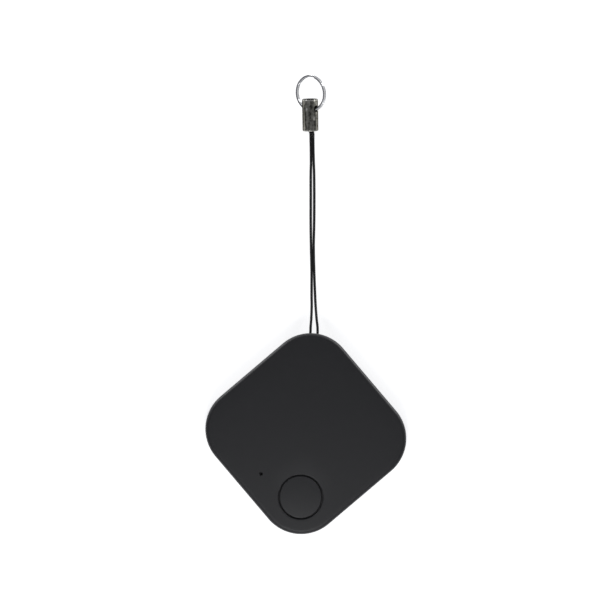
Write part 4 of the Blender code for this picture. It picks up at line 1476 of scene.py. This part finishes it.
@dataclass
class Board:
    """The circuit board with its tracks, pads and soldered parts.

    Args:
        top: the height of the board's upper face.
        copper: how thick the tracks stand.
        track: the width of a track.
        finishes: what each part of the frame on it is made of.
        two_ended: the small parts that have solder at both ends.
    """

    top: float = 2.2 * MM
    copper: float = 0.035 * MM
    track: float = 0.25 * MM
    finishes: dict[str, Finish] = field(
        default_factory=lambda: {
            "circuit_board": BOARD,
            "bluetooth_chip": RESIN,
            "crystal_can": STEEL,
            "driver_transistor": RESIN,
            "capacitor_1": CERAMIC,
            "capacitor_2": CERAMIC,
            "capacitor_3": CERAMIC,
            "capacitor_4": CERAMIC,
            "resistor_1": RESIN,
            "resistor_2": RESIN,
            "light_base": WHITE_RESIN,
            "light_lens": CLEAR_RESIN,
            "switch_body": RESIN,
            "switch_dome": STEEL,
            "switch_cover": NICKEL,
            "sounder_base": RESIN,
            "sounder_housing": RESIN,
            "sounder_core": STEEL,
            "sounder_coil": COPPER,
            "sounder_magnet": MAGNET,
            "sounder_diaphragm": STEEL,
            "positive_contact": NICKEL,
        }
    )
    two_ended: tuple[str, ...] = (
        "capacitor_1",
        "capacitor_2",
        "capacitor_3",
        "capacitor_4",
        "resistor_1",
        "resistor_2",
        "light_base",
    )

    def dress(self) -> None:
        """Gives each part of the frame that stays its own finish."""
        for name, finish in self.finishes.items():
            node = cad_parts[name]
            for slot in node.material_slots:
                slot.material = finish.material()

    def middle(self, name: str) -> np.ndarray:
        """The middle of a part, seen from above."""
        low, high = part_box(name)
        return np.array(((low.x + high.x) / 2, (low.y + high.y) / 2))

    def build_tracks(self) -> None:
        """The printed antenna, a square wave of seven legs, and the tracks between the parts."""
        step, legs = 0.62 * MM, np.arange(16)
        y = (legs // 2 - 3.5) * step
        x = np.where((legs + 1) // 2 % 2 == 0, -20.05 * MM, -18.65 * MM)
        antenna = ribbon(np.column_stack((x, y)), 0.28 * MM, self.top, self.top + self.copper)
        add_piece("printed_antenna", antenna, GOLD, Body.REAR_CASE)
        chip, light = self.middle("bluetooth_chip"), self.middle("light_base")
        transistor, button = self.middle("driver_transistor"), self.middle("switch_body")
        crystal, sounder = self.middle("crystal_can"), self.middle("sounder_base")
        runs = (
            (chip + (-2.6 * MM, -0.2 * MM), chip + (-3.7 * MM, -1.3 * MM), (-18.65 * MM, y[0])),
            (chip + (-0.8 * MM, -2.3 * MM), (light[0], chip[1] - 4.6 * MM), light + (0.0, 0.9 * MM)),
            (chip + (0.6 * MM, 2.4 * MM), crystal + (-0.3 * MM, -1.6 * MM), crystal),
            (light + (0.7 * MM, -0.7 * MM), light + (2.4 * MM, -2.4 * MM), button + (-2.3 * MM, 1.2 * MM)),
            (button + (2.4 * MM, 0.8 * MM), (8.0 * MM, -10.0 * MM), transistor + (-0.8 * MM, -0.8 * MM)),
            (transistor + (0.8 * MM, 0.8 * MM), (sounder[0] - 2.0 * MM, -5.6 * MM), sounder + (-1.6 * MM, -4.1 * MM)),
        )
        high = self.top + self.copper
        corners = [np.array([tuple(spot) for spot in run]) for run in runs]
        tracks = [ribbon(run, self.track, self.top, high) for run in corners]
        add_piece("board_tracks", joined(tracks), TRACK, Body.REAR_CASE)

    def build_solder(self) -> None:
        """Pads with solder at both ends of each small part, and along the sides of the chip."""
        lumps, under = [], self.top
        for name in self.two_ended:
            spot = self.middle(name)
            turn = math.pi / 4 if name.startswith("resistor") else -math.pi / 4
            way = np.array((math.cos(turn), math.sin(turn)))
            for side in (-1, 1):
                place = spot + way * side * 0.92 * MM
                lumps.append(block((*place, under), (0.26 * MM, 0.84 * MM, 0.34 * MM), 0.12 * MM, turn))
                place = spot + way * side * 0.62 * MM
                lumps.append(block((*place, under), (0.40 * MM, 0.80 * MM, 0.085 * MM), 0.03 * MM, turn))
        chip, turn = self.middle("bluetooth_chip"), math.pi / 4
        ways = [np.array((math.cos(turn + k * math.pi / 2), math.sin(turn + k * math.pi / 2))) for k in range(4)]
        for number, way in enumerate(ways):
            along = np.array((-way[1], way[0]))
            for shift in np.linspace(-1.6, 1.6, 8):
                place = chip + way * 2.10 * MM + along * shift * MM
                size, facing = (0.34 * MM, 0.22 * MM, 0.10 * MM), turn + number * math.pi / 2
                lumps.append(block((*place, under), size, 0.04 * MM, facing))
        transistor, way = self.middle("driver_transistor"), np.array((math.cos(turn), math.sin(turn)))
        across = np.array((-way[1], way[0]))
        for along, side in ((-0.95, -1), (0.95, -1), (0.0, 1)):
            place = transistor + way * along * MM + across * side * 0.92 * MM
            lumps.append(block((*place, under), (0.40 * MM, 0.50 * MM, 0.16 * MM), 0.06 * MM, turn))
        add_piece("solder_joints", joined(lumps), SOLDER, Body.REAR_CASE)

    def build_pads(self) -> None:
        """Bare test pads, each a low disc, and small plated holes, each a low ring."""
        spots = [(-5.0, 15.2), (-2.4, 15.6), (2.4, 15.6), (5.0, 15.2)]
        spots += [(-10.8, -9.9), (12.6, -3.9), (4.9, -15.6), (-15.0, 9.0)]
        radii, heights = (0.45 * MM, 0.45 * MM), (self.top, self.top + self.copper)
        discs = [pin(radii, heights, (x * MM, y * MM), 24) for x, y in spots]
        holes = [(-17.0, -1.9), (-11.0, 2.6), (-10.3, -3.8), (-7.6, -12.0), (5.6, -13.0)]
        holes += [(9.6, -6.3), (11.8, 8.4), (8.6, 11.2), (-6.6, 12.8), (0.0, -19.0)]
        section = np.array([(0.12, 0.0), (0.27, 0.0), (0.27, 0.03), (0.12, 0.03)]) * MM + (0.0, self.top)
        discs += [turned(section, (x * MM, y * MM), 16, closed=True) for x, y in holes]
        add_piece("test_pads", joined(discs), GOLD, Body.REAR_CASE)
        low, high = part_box("bluetooth_chip")
        spot = ((low.x + high.x) / 2 - 1.9 * MM, (low.y + high.y) / 2)
        dot = pin((0.22 * MM, 0.20 * MM), (high.z - 0.01 * MM, high.z + 0.012 * MM), spot, 32)
        add_piece("pin_dot", dot, SEAL, Body.REAR_CASE)

    def build_sounder(self) -> None:
        """A low ring pressed into the top of the sounder's housing, with a gauze over its sound hole."""
        _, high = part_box("sounder_housing")
        spot = tuple(self.middle("sounder_housing"))
        section = band(0.55, 1.15, -0.02, 0.03, 0.0, 0.02) * MM + (0.0, high.z)
        ring = turned(section, spot, 72, closed=True)
        add_piece("sound_ring", ring, RESIN, Body.REAR_CASE)
        drum = pin((0.46 * MM, 0.46 * MM), (high.z - 0.02 * MM, high.z + 0.004 * MM), spot, 48)
        add_piece("sound_gauze", drum, MAGNET, Body.REAR_CASE)

    def build_switch(self) -> None:
        """The switch's plunger, turned, with a rounded top."""
        low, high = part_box("switch_plunger")
        section = rounded(
            [
                (0.5 * MM, low.z, 0.0),
                (1.5 * MM, low.z, 0.04 * MM),
                (1.5 * MM, low.z + 0.2 * MM, 0.04 * MM),
                (1.0 * MM, low.z + 0.2 * MM, 0.03 * MM),
                (1.0 * MM, high.z, 0.15 * MM),
                (0.3 * MM, high.z, 0.0),
            ]
        )
        mesh = turned(section, tuple(self.middle("switch_plunger")), 64).mesh("plunger")
        add_piece("plunger", mesh, WHITE_RESIN, Body.PLUNGER, ("switch_plunger",))

    def build(self) -> None:
        """Dresses the frame's parts and adds the tracks, solder, pads, sounder ring and plunger."""
        self.dress()
        self.build_tracks()
        self.build_solder()
        self.build_pads()
        self.build_sounder()
        self.build_switch()


@dataclass
class CellBay:
    """The coin cell, its holder and the contact under it.

    Args:
        sides: how many steps each turned piece has.
        edge: the rounding of the can's upper edge.
        can_wall: the thickness of the can.
        mouth: the width of the holder's opening.
    """

    sides: int = 180
    edge: float = 0.4 * MM
    can_wall: float = 0.25 * MM
    mouth: float = 5.0 * MM

    def ends(self, name: str) -> tuple[float, float, float, tuple[float, float]]:
        """A turned part's radius, lowest and highest point, and middle.

        Args:
            name: the part's name.

        Returns:
            The radius, the two heights and the middle.
        """
        low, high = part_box(name)
        middle = ((low.x + high.x) / 2, (low.y + high.y) / 2)
        return (high.x - low.x) / 2, low.z, high.z, middle

    def build_cell(self) -> None:
        """The can with a rolled edge, the seal and the cap, each turned about the cell's axis."""
        radius, low, top, middle = self.ends("cell_can")
        inside = radius - self.can_wall
        can = rounded(
            [
                (0.5 * MM, top - self.can_wall, 0.0),
                (inside - 0.6 * MM, top - self.can_wall, 0.0),
                (inside, top - self.can_wall - self.edge, 0.1 * MM),
                (inside, low, 0.05 * MM),
                (radius, low, 0.10 * MM),
                (radius, top, 0.45 * MM),
                (radius - 1.1 * MM, top, 0.0),
                (radius - 1.25 * MM, top - 0.03 * MM, 0.03 * MM),
                (radius - 1.4 * MM, top, 0.0),
                (0.5 * MM, top, 0.0),
            ]
        )
        shell = turned(can, middle, self.sides)
        add_piece("cell_shell", shell, STEEL, Body.CELL, ("cell_can",))
        outside, low, high, middle = self.ends("cell_seal")
        seal = band(outside - 0.6 * MM, outside, low, high, 0.05 * MM, 0.05 * MM)
        gasket = turned(seal, middle, self.sides, closed=True)
        add_piece("cell_gasket", gasket, SEAL, Body.CELL, ("cell_seal",))
        outside, low, high, middle = self.ends("cell_cap")
        inside = 0.5 * MM
        cap = [(inside, low, 0.0), (outside, low, 0.35 * MM), (outside, high, 0.1 * MM), (inside, high, 0.0)]
        add_piece("cell_base", turned(rounded(cap), middle, self.sides), NICKEL, Body.CELL, ("cell_cap",))
        self.build_mark(top, (middle[0], middle[1] + 5.4 * MM))

    def build_mark(self, top: float, spot: tuple[float, float]) -> None:
        """The raised cross by the cell's rim: one outline of twelve corners, its top drawn in by d.

        Args:
            top: the height of the can's top.
            spot: where the cross stands.
        """
        reach, half = 1.1 * MM, 0.23 * MM
        long = np.array([1, 1, 0, 0, 0, 0, -1, -1, 0, 0, 0, 0]) * (reach - half)
        corner_x = np.array([1, 1, 1, 1, -1, -1, -1, -1, -1, -1, 1, 1])
        corner_y = np.array([-1, 1, 1, 1, 1, 1, 1, -1, -1, -1, -1, -1])
        tall = np.array([0, 0, 0, 1, 1, 0, 0, 0, 0, -1, -1, 0]) * (reach - half)
        drawn = np.array([0.0, 0.0, 0.03]) * MM
        level = top + np.array([-0.02, 0.010, 0.025]) * MM
        x = spot[0] + long[None] + corner_x[None] * (half - drawn[:, None])
        y = spot[1] + tall[None] + corner_y[None] * (half - drawn[:, None])
        mark = grid(np.stack((x, y, level[:, None] * np.ones_like(x)), axis=-1))
        add_piece("cell_mark", mark, MAGNET, Body.CELL)

    def build_holder(self) -> None:
        """The moulded ring round the cell, an arc of a rounded section, open where the contact presses."""
        outside, low, high, middle = self.ends("cell_holder")
        inside = outside - 0.7 * MM
        section = band(inside, outside, low, high, 0.05 * MM, 0.18 * MM)
        half = math.asin(self.mouth / 2 / outside)
        turn = np.linspace(np.pi / 2 + half, np.pi * 2.5 - half, self.sides)[:, None]
        x, y = middle[0] + section[:, 0] * np.cos(turn), middle[1] + section[:, 0] * np.sin(turn)
        arc = grid(np.stack((x, y, section[:, 1] * np.ones_like(turn)), axis=-1))
        add_piece("holder_ring", arc, RESIN, Body.REAR_CASE, ("cell_holder",))

    def build_contact(self) -> None:
        """The flat contact under the cell, with two raised circles."""
        outside, low, high, middle = self.ends("negative_contact")
        flat = high - 0.03 * MM
        rows = [(0.4 * MM, low), (outside, low), (outside, flat), (4.0 * MM, flat), (3.8 * MM, high)]
        rows += [(3.4 * MM, high), (3.2 * MM, flat), (1.8 * MM, flat), (1.6 * MM, high), (0.4 * MM, high)]
        plate = turned(np.array(rows), middle, 120)
        add_piece("base_contact", plate, NICKEL, Body.REAR_CASE, ("negative_contact",))

    def build(self) -> None:
        """Makes the cell, its holder and its contact."""
        self.build_cell()
        self.build_holder()
        self.build_contact()


def main() -> None:
    """Builds the studio, then each sub-assembly."""
    logging.basicConfig(level=logging.INFO, format="%(name)s: %(message)s")
    Studio().build()
    strap = Strap()
    ring = SplitRing(strap).build()
    strap.build(ring)
    Case().build()
    Board().build()
    CellBay().build()


if __name__ == "__main__":
    main()
